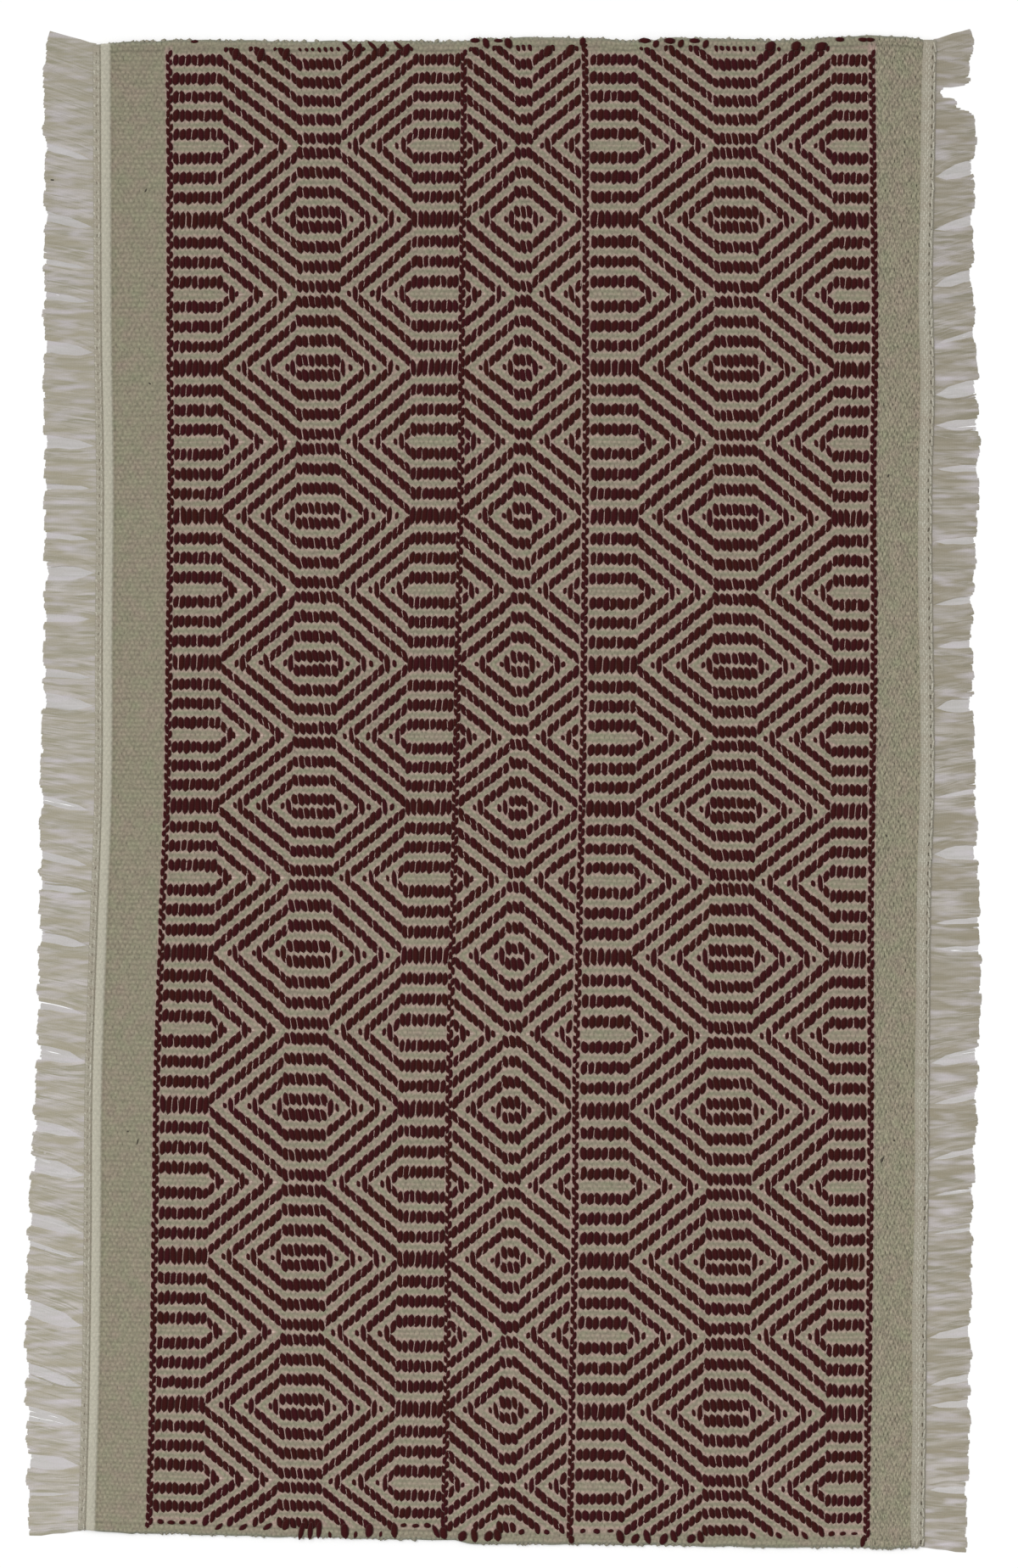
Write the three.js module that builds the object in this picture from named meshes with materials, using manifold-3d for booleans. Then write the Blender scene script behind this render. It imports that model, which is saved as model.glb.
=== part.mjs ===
import * as THREE from 'three';
import { mergeVertices } from 'three/addons/utils/BufferGeometryUtils.js';
import Module from 'manifold-3d';

// A flat-woven cotton rug lying on a floor, with its long sides along Y.
// Millimetres, +Z up. The warp runs along X, so the cut warp ends make a fringe
// on both long sides, and the two short ends are the selvedges.

// Heights above the floor
const PLAIN_HEIGHT = 2.3;
const PATTERN_HEIGHT = 2.8;
const LINE_HEIGHT = 3.3;
const SELVEDGE_HEIGHT = 3.1;
const EDGE_HEIGHT = 1.6;
const HEM_HEIGHT = 4.0;
const HEM_SHOULDER_HEIGHT = 3.1;
const HEADING_HEIGHT_LEFT = 2.4;
const HEADING_HEIGHT_RIGHT = 2.8;

// Widths across the rug
const HEM_HALF_WIDTH = 2.6;
const HEM_FOOT_HALF_WIDTH = 3.0;
const HEM_CROWN_HALF_WIDTH = 1.1;
const HEM_SHOULDER_HALF_WIDTH = 2.2;
const LINE_HALF_WIDTH = 2.4;
const LINE_CROWN_HALF_WIDTH = 1.2;
const LEFT_HEADING_WIDTH = 4.5;
const RIGHT_HEADING_WIDTH = 7.9;
const RIGHT_HEADING_INNER = 5.6;
const PARTING = 0.36;

// Lengthwise steps of the cloth and the headings
const SELVEDGE_WIDTH = 5.5;
const SELVEDGE_ROLL = 1.4;
const CLOTH_STEP = 32;
const HEADING_STEP = 30;
const HEADING_END_MARGIN = 0.6;

// Fringe locks
const LOCK_PITCH = 8.5;
const LOCK_PARTING = 0.5;
const LOCK_ROOT_DEPTH = 1.5;
const LOCK_ROOT_HEIGHT = 2.0;
const LOCK_TIP_HEIGHT = 1.2;
const LOCK_BEND = 9;
const STRAND_LENGTH = 30;
const LENGTH_WOBBLE = 1.3;
const HEIGHT_WOBBLE = 0.2;
const GAP_SPREAD = 10;

// How the woven lines drift sideways from the near end of the rug to the far end.
// hem is the middle of the hem ridge, a to d are the four beaded lines,
// and seam is the needle row of the right heading.
const DRIFT = [
  { y: -450, hem: -251.5, a: -216.0, b: -39.0, c: 36.5, d: 214.5, seam: 247.5 },
  { y: -360, hem: -249.5, a: -214.0, b: -37.5, c: 38.0, d: 215.5, seam: 248.0 },
  { y: -270, hem: -248.5, a: -212.5, b: -36.5, c: 39.5, d: 216.5, seam: 249.5 },
  { y: -180, hem: -248.0, a: -211.5, b: -36.0, c: 40.0, d: 217.0, seam: 250.5 },
  { y: -90, hem: -244.5, a: -208.5, b: -34.0, c: 42.0, d: 217.0, seam: 250.5 },
  { y: 0, hem: -242.0, a: -205.0, b: -32.0, c: 44.0, d: 218.0, seam: 252.0 },
  { y: 90, hem: -241.5, a: -204.0, b: -30.5, c: 45.0, d: 219.0, seam: 252.0 },
  { y: 180, hem: -241.0, a: -203.0, b: -29.0, c: 46.0, d: 218.5, seam: 252.0 },
  { y: 270, hem: -242.5, a: -203.5, b: -28.5, c: 46.0, d: 219.5, seam: 252.5 },
  { y: 360, hem: -242.5, a: -203.5, b: -27.5, c: 46.0, d: 218.5, seam: 253.0 },
  { y: 450, hem: -242.5, a: -204.0, b: -27.0, c: 45.5, d: 217.5, seam: 253.0 },
];

// The two selvedges, from left to right
const SELVEDGES = [
  { x: -255, near: -447.5, far: 443.5 },
  { x: -215, near: -449.5, far: 446.0 },
  { x: -150, near: -451.0, far: 446.0 },
  { x: -75, near: -453.0, far: 445.5 },
  { x: -30, near: -453.5, far: 446.0 },
  { x: -15, near: -456.0, far: 447.5 },
  { x: 50, near: -456.0, far: 447.5 },
  { x: 75, near: -456.5, far: 446.0 },
  { x: 100, near: -457.0, far: 447.5 },
  { x: 165, near: -458.0, far: 446.5 },
  { x: 205, near: -458.5, far: 448.5 },
  { x: 230, near: -459.0, far: 448.5 },
  { x: 257, near: -457.5, far: 446.5 },
];

// Each fringe: how far it reaches from its root, and how far a strand of full length
// is swept towards the far end. The gaps are where its locks part, named at mid length.
const LEFT_FRINGE = {
  outward: -1,
  rows: [
    { y: -450, reach: 29.0, sweep: -4 },
    { y: -420, reach: 31.0, sweep: 2 },
    { y: -360, reach: 33.5, sweep: 9 },
    { y: -270, reach: 33.0, sweep: 9 },
    { y: -180, reach: 29.0, sweep: 7 },
    { y: -90, reach: 30.0, sweep: 6 },
    { y: 0, reach: 32.0, sweep: 6 },
    { y: 90, reach: 30.5, sweep: 2 },
    { y: 180, reach: 31.0, sweep: 2 },
    { y: 270, reach: 30.0, sweep: 5 },
    { y: 360, reach: 29.0, sweep: 7 },
    { y: 420, reach: 29.0, sweep: 11 },
    { y: 450, reach: 25.5, sweep: 9 },
  ],
  gaps: [
    { y: -425.5, open: 4.0 },
    { y: -407.0, open: 12.0 },
    { y: -382.0, open: 10.0 },
    { y: -357.0, open: 10.0 },
    { y: -321.0, open: 14.0 },
    { y: -280.5, open: 5.5 },
    { y: -266.0, open: 10.5 },
    { y: -231.0, open: 13.0 },
    { y: -208.0, open: 9.5 },
    { y: -162.5, open: 12.0 },
    { y: -135.0, open: 6.5 },
    { y: -94.5, open: 10.0 },
    { y: -62.0, open: 8.0 },
    { y: -47.0, open: 7.5 },
    { y: -13.5, open: 7.5 },
    { y: 49.0, open: 11.0 },
    { y: 64.5, open: 7.0 },
    { y: 100.0, open: 7.0 },
    { y: 127.0, open: 12.0 },
    { y: 147.0, open: 6.0 },
    { y: 178.5, open: 6.0 },
    { y: 204.5, open: 8.5 },
    { y: 261.5, open: 11.0 },
    { y: 291.5, open: 6.0 },
    { y: 311.5, open: 6.0 },
    { y: 337.5, open: 8.0 },
    { y: 379.0, open: 7.5 },
  ],
};

const RIGHT_FRINGE = {
  outward: 1,
  rows: [
    { y: -450, reach: 25.0, sweep: -4 },
    { y: -420, reach: 25.5, sweep: 1 },
    { y: -360, reach: 26.5, sweep: 4 },
    { y: -270, reach: 26.5, sweep: 5 },
    { y: -180, reach: 29.0, sweep: 5 },
    { y: -90, reach: 30.0, sweep: 0 },
    { y: 0, reach: 24.5, sweep: 5 },
    { y: 90, reach: 23.5, sweep: 4 },
    { y: 180, reach: 28.0, sweep: 0 },
    { y: 270, reach: 24.5, sweep: 7 },
    { y: 360, reach: 24.0, sweep: 7 },
    { y: 392, reach: 25.0, sweep: 1 },
    { y: 409, reach: 16.0, sweep: 1 },
    { y: 425, reach: 23.5, sweep: 4 },
    { y: 450, reach: 18.0, sweep: 11 },
  ],
  gaps: [
    { y: -423.0, open: 7.0 },
    { y: -371.0, open: 7.0 },
    { y: -359.5, open: 7.0 },
    { y: -330.0, open: 8.0 },
    { y: -268.0, open: 5.0 },
    { y: -245.0, open: 5.0 },
    { y: -222.5, open: 6.5 },
    { y: -189.5, open: 7.0 },
    { y: -165.5, open: 11.0 },
    { y: -99.0, open: 6.0 },
    { y: -83.5, open: 6.0 },
    { y: -40.5, open: 12.0 },
    { y: -6.0, open: 5.0 },
    { y: 48.0, open: 13.0 },
    { y: 84.5, open: 8.0 },
    { y: 108.5, open: 7.0 },
    { y: 145.5, open: 7.0 },
    { y: 189.5, open: 7.0 },
    { y: 216.5, open: 10.0 },
    { y: 235.5, open: 13.0 },
    { y: 268.0, open: 6.0 },
    { y: 303.0, open: 11.0 },
    { y: 336.0, open: 8.0 },
    { y: 367.5, open: 13.0 },
    { y: 416.0, open: 14.0 },
  ],
};

const wasm = await Module();
wasm.setup();

// A smooth curve through one column of a table whose key column rises
function along(rows, key, column, at) {
  const last = rows.length - 1;
  const clamped = Math.min(Math.max(at, rows[0][key]), rows[last][key]);
  let i = 0;
  while (i < last - 1 && rows[i + 1][key] < clamped) {
    i += 1;
  }
  const slope = (k) => {
    const before = rows[Math.max(k - 1, 0)];
    const after = rows[Math.min(k + 1, last)];
    return (after[column] - before[column]) / (after[key] - before[key]);
  };
  const span = rows[i + 1][key] - rows[i][key];
  const t = (clamped - rows[i][key]) / span;
  const start = rows[i][column] * (1 + 2 * t) * (1 - t) ** 2;
  const end = rows[i + 1][column] * t * t * (3 - 2 * t);
  const bend = span * t * (1 - t) * (slope(i) * (1 - t) - slope(i + 1) * t);
  return start + end + bend;
}

const drift = (line, y) => along(DRIFT, 'y', line, y);
const farEdge = (x) => along(SELVEDGES, 'x', 'far', x);
const nearEdge = (x) => along(SELVEDGES, 'x', 'near', x);

// Where the fringe leaves its heading
function rootX(side, y) {
  if (side === LEFT_FRINGE) {
    return drift('hem', y) - HEM_HALF_WIDTH - PARTING - LEFT_HEADING_WIDTH;
  }
  return drift('seam', y) - RIGHT_HEADING_INNER + RIGHT_HEADING_WIDTH;
}

// The cloth's section from left to right, each point hung on a drifting line
function clothSection() {
  const points = [
    { line: 'hem', offset: -HEM_HALF_WIDTH, height: PLAIN_HEIGHT },
    { line: 'hem', offset: -HEM_SHOULDER_HALF_WIDTH, height: HEM_SHOULDER_HEIGHT },
    { line: 'hem', offset: -HEM_CROWN_HALF_WIDTH, height: HEM_HEIGHT },
    { line: 'hem', offset: HEM_CROWN_HALF_WIDTH, height: HEM_HEIGHT },
    { line: 'hem', offset: HEM_SHOULDER_HALF_WIDTH, height: HEM_SHOULDER_HEIGHT },
    { line: 'hem', offset: HEM_FOOT_HALF_WIDTH, height: PLAIN_HEIGHT },
  ];
  for (const line of ['a', 'b', 'c', 'd']) {
    const before = line === 'a' ? PLAIN_HEIGHT : PATTERN_HEIGHT;
    const after = line === 'd' ? PLAIN_HEIGHT : PATTERN_HEIGHT;
    points.push({ line, offset: -LINE_HALF_WIDTH, height: before });
    points.push({ line, offset: -LINE_CROWN_HALF_WIDTH, height: LINE_HEIGHT });
    points.push({ line, offset: LINE_CROWN_HALF_WIDTH, height: LINE_HEIGHT });
    points.push({ line, offset: LINE_HALF_WIDTH, height: after });
  }
  points.push({ line: 'seam', offset: -RIGHT_HEADING_INNER - PARTING, height: PLAIN_HEIGHT });
  return points;
}

// The cloth's rows from the near end to the far end: a share of its length,
// a fixed step in from either selvedge, and how much of the selvedge's roll it has
function clothRows(length) {
  const ends = [
    { inset: 0, edge: true, roll: 0 },
    { inset: SELVEDGE_ROLL, edge: false, roll: 1 },
    { inset: SELVEDGE_WIDTH - SELVEDGE_ROLL, edge: false, roll: 1 },
    { inset: SELVEDGE_WIDTH, edge: false, roll: 0 },
  ];
  const steps = Math.round(length / CLOTH_STEP);
  const near = ends.map((end) => ({ ...end, share: 0 }));
  const far = ends.map((end) => ({ ...end, share: 1, inset: -end.inset })).reverse();
  const middle = [];
  for (let k = 1; k < steps; k += 1) {
    middle.push({ share: k / steps, inset: 0, edge: false, roll: 0 });
  }
  return [...near, ...middle, ...far];
}

// One point of the cloth's upper face
function clothPoint(point, row) {
  const nominal = drift(point.line, 0) + point.offset;
  const y = THREE.MathUtils.lerp(nearEdge(nominal), farEdge(nominal), row.share) + row.inset;
  const x = drift(point.line, y) + point.offset;
  const rolled = Math.max(point.height, SELVEDGE_HEIGHT);
  const height = row.edge ? EDGE_HEIGHT : THREE.MathUtils.lerp(point.height, rolled, row.roll);
  return new THREE.Vector3(x, y, height);
}

// The ring of grid indices around the cloth, anticlockwise from above
function gridRim(columns, rows) {
  const rim = [];
  for (let i = 0; i < columns; i += 1) {
    rim.push([i, 0]);
  }
  for (let j = 1; j < rows; j += 1) {
    rim.push([columns - 1, j]);
  }
  for (let i = columns - 2; i >= 0; i -= 1) {
    rim.push([i, rows - 1]);
  }
  for (let j = rows - 2; j > 0; j -= 1) {
    rim.push([0, j]);
  }
  return rim;
}

function geometryFrom(points, indices) {
  const geometry = new THREE.BufferGeometry();
  const flat = points.flatMap((point) => [point.x, point.y, point.z]);
  geometry.setAttribute('position', new THREE.Float32BufferAttribute(flat, 3));
  geometry.setIndex(indices);
  geometry.computeVertexNormals();
  return geometry;
}

// The woven cloth: a relief grid above, one flat face on the floor, and walls between
function clothGeometry() {
  const section = clothSection();
  const rows = clothRows(farEdge(0) - nearEdge(0));
  const columns = section.length;
  const points = [];
  for (const row of rows) {
    for (const point of section) {
      points.push(clothPoint(point, row));
    }
  }
  const indices = [];
  for (let j = 0; j < rows.length - 1; j += 1) {
    for (let i = 0; i < columns - 1; i += 1) {
      const a = j * columns + i;
      const b = a + columns;
      indices.push(a, a + 1, b + 1, a, b + 1, b);
    }
  }
  const rim = gridRim(columns, rows.length).map(([i, j]) => j * columns + i);
  const floor = rim.map((index) => new THREE.Vector3(points[index].x, points[index].y, 0));
  const base = points.length;
  points.push(...floor);
  rim.forEach((index, k) => {
    const next = (k + 1) % rim.length;
    indices.push(base + k, base + next, rim[next], base + k, rim[next], index);
  });
  const outline = floor.map((point) => new THREE.Vector2(point.x, point.y));
  for (const [a, b, c] of THREE.ShapeUtils.triangulateShape(outline, [])) {
    indices.push(base + c, base + b, base + a);
  }
  return geometryFrom(points, indices);
}

// A closed bar with four sides, from stations that each give their two lower corners and a height
function barGeometry(stations) {
  const points = [];
  for (const { left, right, height } of stations) {
    points.push(new THREE.Vector3(left.x, left.y, 0));
    points.push(new THREE.Vector3(right.x, right.y, 0));
    points.push(new THREE.Vector3(right.x, right.y, height));
    points.push(new THREE.Vector3(left.x, left.y, height));
  }
  const indices = [0, 1, 2, 0, 2, 3];
  for (let s = 0; s < stations.length - 1; s += 1) {
    for (let k = 0; k < 4; k += 1) {
      const a = s * 4 + k;
      const b = s * 4 + ((k + 1) % 4);
      indices.push(a, a + 4, b + 4, a, b + 4, b);
    }
  }
  const end = (stations.length - 1) * 4;
  indices.push(end, end + 2, end + 1, end, end + 3, end + 2);
  return geometryFrom(points, indices);
}

// The stretch of a heading between the two selvedges
function headingEnds(side) {
  const x = rootX(side, 0);
  return {
    low: nearEdge(x) + HEADING_END_MARGIN,
    high: farEdge(x) - HEADING_END_MARGIN,
  };
}

function headingGeometry(side) {
  const { low, high } = headingEnds(side);
  const width = side === LEFT_FRINGE ? LEFT_HEADING_WIDTH : RIGHT_HEADING_WIDTH;
  const height = side === LEFT_FRINGE ? HEADING_HEIGHT_LEFT : HEADING_HEIGHT_RIGHT;
  const steps = Math.round((high - low) / HEADING_STEP);
  const stations = [];
  for (let k = 0; k <= steps; k += 1) {
    const y = THREE.MathUtils.lerp(low, high, k / steps);
    const outer = rootX(side, y);
    const inner = outer - side.outward * width;
    const [left, right] = [Math.min(inner, outer), Math.max(inner, outer)];
    stations.push({
      left: new THREE.Vector2(left, y),
      right: new THREE.Vector2(right, y),
      height,
    });
  }
  return barGeometry(stations);
}

// How far the parted locks push a strand sideways, at a distance from its root
function push(side, root, distance) {
  const opened = 1 - (1 - Math.min(distance / STRAND_LENGTH, 1)) ** 4;
  let total = 0;
  for (const gap of side.gapRoots) {
    const away = root - gap.root;
    total += Math.sign(away) * 0.5 * gap.open * opened * Math.exp(-Math.abs(away) / GAP_SPREAD);
  }
  return total;
}

// Where a strand rooted at a place along the heading lies, at a distance from its root
function strandY(side, root, distance) {
  const sweep = along(side.rows, 'y', 'sweep', root);
  return root + (sweep * distance) / STRAND_LENGTH + push(side, root, distance);
}

// Roots of the locks: each stretch between two gaps is shared out evenly
function lockRoots(side) {
  const { low, high } = headingEnds(side);
  const stops = [low, ...side.gapRoots.map((gap) => gap.root), high];
  const locks = [];
  for (let k = 0; k < stops.length - 1; k += 1) {
    const span = stops[k + 1] - stops[k];
    const count = Math.max(1, Math.round(span / LOCK_PITCH));
    for (let i = 0; i < count; i += 1) {
      locks.push({
        low: stops[k] + (span * i) / count + LOCK_PARTING / 2,
        high: stops[k] + (span * (i + 1)) / count - LOCK_PARTING / 2,
      });
    }
  }
  return locks;
}

// One lock of loose warp ends, lying on the floor, thinner and narrower towards its tip
function lockGeometry(side, lock, index) {
  const middle = (lock.low + lock.high) / 2;
  const wobble = Math.sin(index * 2.4) * 0.6 + Math.sin(index * 0.9 + 1) * 0.4;
  const reach = along(side.rows, 'y', 'reach', middle) + LENGTH_WOBBLE * wobble;
  const rise = HEIGHT_WOBBLE * Math.sin(index * 1.7);
  const stations = [-LOCK_ROOT_DEPTH, LOCK_BEND, reach].map((distance) => {
    const loose = Math.max(distance, 0);
    const x = rootX(side, middle) + side.outward * distance;
    const ends = [lock.low, lock.high].map(
      (root) => new THREE.Vector2(x, strandY(side, root, loose)),
    );
    const [left, right] = side.outward < 0 ? ends : ends.reverse();
    const share = loose / reach;
    const height = THREE.MathUtils.lerp(LOCK_ROOT_HEIGHT, LOCK_TIP_HEIGHT, share) + rise * share;
    return { left, right, height };
  });
  return barGeometry(stations);
}

function toSolid(geometry) {
  const bare = geometry.clone();
  bare.deleteAttribute('normal');
  const merged = mergeVertices(bare, 1e-4);
  const vertProperties = new Float32Array(merged.attributes.position.array);
  const triVerts = new Uint32Array(merged.index.array);
  return new wasm.Manifold(new wasm.Mesh({ numProp: 3, vertProperties, triVerts }));
}

function toGeometry(solid) {
  const mesh = solid.getMesh();
  const geometry = new THREE.BufferGeometry();
  geometry.setAttribute('position', new THREE.BufferAttribute(mesh.vertProperties, 3));
  geometry.setIndex(new THREE.BufferAttribute(mesh.triVerts, 1));
  geometry.computeVertexNormals();
  return geometry;
}

// A heading with all its locks fused to it at their roots
function fringeGeometry(side) {
  side.gapRoots = side.gaps.map((gap) => ({
    open: gap.open,
    root: gap.y - along(side.rows, 'y', 'sweep', gap.y) / 2,
  }));
  let solid = toSolid(headingGeometry(side));
  lockRoots(side).forEach((lock, index) => {
    solid = solid.add(toSolid(lockGeometry(side, lock, index)));
  });
  return toGeometry(solid);
}

function piece(name, geometry, colour, roughness) {
  const material = new THREE.MeshStandardMaterial({ color: colour, roughness, metalness: 0 });
  const mesh = new THREE.Mesh(geometry, material);
  mesh.name = name;
  return mesh;
}

const group = new THREE.Group();
group.add(piece('rug_cloth', clothGeometry(), 0x7d6459, 0.95));
group.add(piece('fringe_left', fringeGeometry(LEFT_FRINGE), 0xaba796, 0.95));
group.add(piece('fringe_right', fringeGeometry(RIGHT_FRINGE), 0xaba796, 0.95));

// The origin is on the floor, under the middle of the whole rug
const box = new THREE.Box3().setFromObject(group);
group.position.set(-(box.min.x + box.max.x) / 2, -(box.min.y + box.max.y) / 2, 0);
group.updateMatrixWorld(true);

export default group;
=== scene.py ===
import bpy
import numpy as np
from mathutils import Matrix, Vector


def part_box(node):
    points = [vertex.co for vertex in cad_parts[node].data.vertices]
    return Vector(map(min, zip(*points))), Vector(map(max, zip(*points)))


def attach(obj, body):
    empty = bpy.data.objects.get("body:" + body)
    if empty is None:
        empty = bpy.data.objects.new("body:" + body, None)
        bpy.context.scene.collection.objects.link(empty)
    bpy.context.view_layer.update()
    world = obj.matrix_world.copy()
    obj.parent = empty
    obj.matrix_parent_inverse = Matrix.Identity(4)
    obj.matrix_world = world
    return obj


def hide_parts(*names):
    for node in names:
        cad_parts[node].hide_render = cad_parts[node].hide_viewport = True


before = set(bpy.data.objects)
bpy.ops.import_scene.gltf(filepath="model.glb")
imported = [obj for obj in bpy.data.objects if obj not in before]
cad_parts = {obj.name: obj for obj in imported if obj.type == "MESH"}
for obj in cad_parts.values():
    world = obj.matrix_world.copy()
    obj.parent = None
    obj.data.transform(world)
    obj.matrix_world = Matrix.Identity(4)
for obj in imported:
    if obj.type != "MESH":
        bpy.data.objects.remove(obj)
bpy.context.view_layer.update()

# A flat-woven cotton rug lying on a pale floor, seen from straight above.
# The tables and sizes are in millimetres, in the frame in which the rug was measured.
# The warp runs along X and ends in the two fringes. The dark pattern picks run along Y.

dice = np.random.default_rng(41)
MM = 0.001


def table(names, *rows):
    """A short table with named columns."""
    return {name: np.array(column, float) for name, column in zip(names.split(), zip(*rows))}

# Across the rug, from the hem ridge to the right heading
HEM_HALF = 2.6
RIDGE_SHIFT = 0.3
RIDGE_HALF = 3.0
HEADING_LEFT = 4.5
HEADING_RIGHT_INNER = 5.6
HEADING_RIGHT = 7.9
PARTING = 0.36
LINE_HALF = 2.4
WEAVE_PITCH = 1.463

# How the woven lines drift sideways from the near end of the rug to the far end.
# hem is the middle of the hem ridge, and a to d are the four beaded lines.
DRIFT = table(
    "y hem a b c d",
    (-450, -251.5, -216, -39, 36.5, 214.5),
    (-360, -249.1, -214, -37.5, 38, 215.5),
    (-270, -248, -212.5, -36.5, 39.5, 216.5),
    (-180, -247.4, -211.5, -36, 40, 217),
    (-90, -244.5, -208.5, -34, 42, 217),
    (0, -241.5, -205, -32, 44, 218),
    (90, -241.2, -204, -30.5, 45, 219),
    (180, -240.5, -203, -29, 46, 218.5),
    (270, -241.8, -203.5, -28.5, 46, 219.5),
    (360, -242.2, -203.5, -27.5, 46, 218.5),
    (450, -242.5, -204, -27, 45.5, 217.5),
)

# The needle row of the right heading wanders more
SEAM = table(
    "y seam",
    (-450, 247), (-370, 248.1), (-310, 248.4), (-250, 249.4), (-190, 249.9), (-125, 250.4),
    (-65, 250.9), (-5, 252.9), (60, 252.7), (120, 251.8), (180, 251.7), (240, 253.2),
    (300, 251.9), (365, 253.1), (450, 254.3),
)

# The two selvedges, from left to right
SELVEDGES = table(
    "x near far",
    (-255, -447.5, 443.5), (-215, -449.5, 446), (-150, -451, 446), (-75, -453, 445.5),
    (-30, -453.5, 446), (-15, -456, 447.5), (50, -456, 447.5), (75, -456.5, 446),
    (100, -457, 447.5), (165, -458, 446.5), (205, -458.5, 448.5), (230, -459, 448.5),
    (257, -457.5, 446.5),
)

# Each fringe: the line that it is measured from and where its root lies beside that line,
# how far it reaches from its root, and how far a strand of full length is swept towards
# the far end. The gaps are where its locks part, at mid length, and how wide they open.
# The strip is the low heading beside it: offsets from the line, with the heights there.
LEFT_FRINGE = {
    "name": "left", "outward": -1, "line": "hem", "root": -HEM_HALF - PARTING - HEADING_LEFT,
    "strip": table("offset height", (-7.4, 0.8), (-6.6, 1.5), (-4, 1.9), (-2.3, 1.95)),
    "rows": table(
        "y reach sweep",
        (-450, 29, -4), (-420, 31, 2), (-360, 33.5, 9), (-270, 33, 9), (-180, 29, 7),
        (-90, 30, 6), (0, 32, 6), (90, 30.5, 2), (180, 31, 2), (270, 30, 5),
        (360, 29, 7), (420, 29, 11), (450, 25.5, 9),
    ),
    "gaps": table(
        "y open",
        (-425.5, 4), (-407, 12), (-382, 10), (-357, 10), (-321, 14),
        (-280.5, 5.5), (-266, 10.5), (-231, 13), (-208, 9.5), (-162.5, 12),
        (-135, 6.5), (-94.5, 10), (-62, 8), (-47, 7.5), (-13.5, 7.5), (49, 11),
        (64.5, 7), (100, 7), (127, 12), (147, 6), (178.5, 6), (204.5, 8.5),
        (261.5, 11), (291.5, 6), (311.5, 6), (337.5, 8), (379, 7.5),
    ),
}

RIGHT_FRINGE = {
    "name": "right", "outward": 1, "line": "seam", "root": HEADING_RIGHT - HEADING_RIGHT_INNER,
    "strip": table("offset height", (-6.5, 2.1), (-5.4, 2.3), (-1, 2.1), (1.4, 1.8), (2.6, 0.8)),
    "rows": table(
        "y reach sweep",
        (-450, 25, -4), (-420, 25.5, 1), (-360, 26.5, 4), (-270, 26.5, 5), (-180, 29, 5),
        (-90, 30, 0), (0, 24.5, 5), (90, 23.5, 4), (180, 28, 0), (270, 24.5, 7),
        (360, 24, 7), (396, 24, 1), (402, 20.5, 1), (405, 13.5, 1), (410.4, 10, 1),
        (411, 4.3, 1), (418.4, 4.3, 2), (419, 16.5, 2), (423, 20.5, 4), (431, 20.5, 6),
        (441, 22.5, 8), (450, 18, 11),
    ),
    "gaps": table(
        "y open",
        (-423, 7), (-371, 7), (-359.5, 7), (-330, 8), (-268, 5),
        (-245, 5), (-222.5, 6.5), (-189.5, 7), (-165.5, 11), (-99, 6),
        (-83.5, 6), (-40.5, 12), (-6, 5), (48, 13), (84.5, 8), (108.5, 7),
        (145.5, 7), (189.5, 7), (216.5, 10), (235.5, 13), (268, 6), (303, 11),
        (336, 8), (367.5, 13),
    ),
}

# The weave is laid out in blocks, counted from the far end. Each row gives the height
# of one block at three places across the rug, so the rows bow as the real ones do.
BLOCK_ROWS = table(
    "block left middle right",
    (-21, 441, 441.5, 441),
    (0, 382.5, 383, 382.5),
    (30, 293.5, 294, 293),
    (60, 205, 205.5, 204),
    (90, 116.5, 116, 114.5),
    (120, 29.5, 28, 26.5),
    (150, -56, -57.5, -60),
    (180, -147, -150, -151),
    (210, -238, -241, -242),
    (240, -328, -330.5, -332),
    (270, -416, -421, -423),
    (280, -443, -447.5, -449.5),
)
BLOCK_ANCHORS = {"left": -186, "middle": 9, "right": 205}
BLOCK = 2.95
FIRST_BLOCK, LAST_BLOCK = -21, 280
TURN = 15
LAST_TURN = 18 * TURN
BLOCK_MARGIN = 6


def woven_panel(lines, first, last, *groups):
    """A panel: its two beaded lines, how far its outer picks lie from them, and its groups."""
    picks = table("count kind step pitch right left", *groups)
    return {"lines": lines, "first": first, "last": last, "groups": picks}


# The dark picks of each panel in groups: how many, the weave kind of the first,
# how the kind steps from pick to pick, their spacing, and how far a short float at a turn
# is drawn sideways where it lies right or left of its long neighbour
PANELS = (
    woven_panel(
        ("a", "b"), 4, 3.7,
        (8, 0, 0, 3.70, 0, 0),
        (12, 1, 1, 3.65, -1.2, 0.2),
        (7, 1, 0, 3.79, 0, 0),
        (12, 0, -1, 3.51, 0.7, -0.5),
        (8, 0, 0, 3.56, 0, 0),
    ),
    woven_panel(
        ("b", "c"), 3.8, 4.7,
        (8, 1, 1, 3.63, -0.5, 0.3),
        (3, 1, 0, 3.63, 0, 0),
        (8, 0, -1, 3.63, -0.3, 0.2),
    ),
    woven_panel(
        ("c", "d"), 5, 4.7,
        (7, 0, 0, 4.12, 0, 0),
        (12, 1, 1, 3.75, -0.2, 0),
        (7, 1, 0, 3.85, 0, 0),
        (12, 0, -1, 3.71, 0.2, -0.3),
        (6, 0, 0, 3.66, 0, 0),
    ),
)

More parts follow.
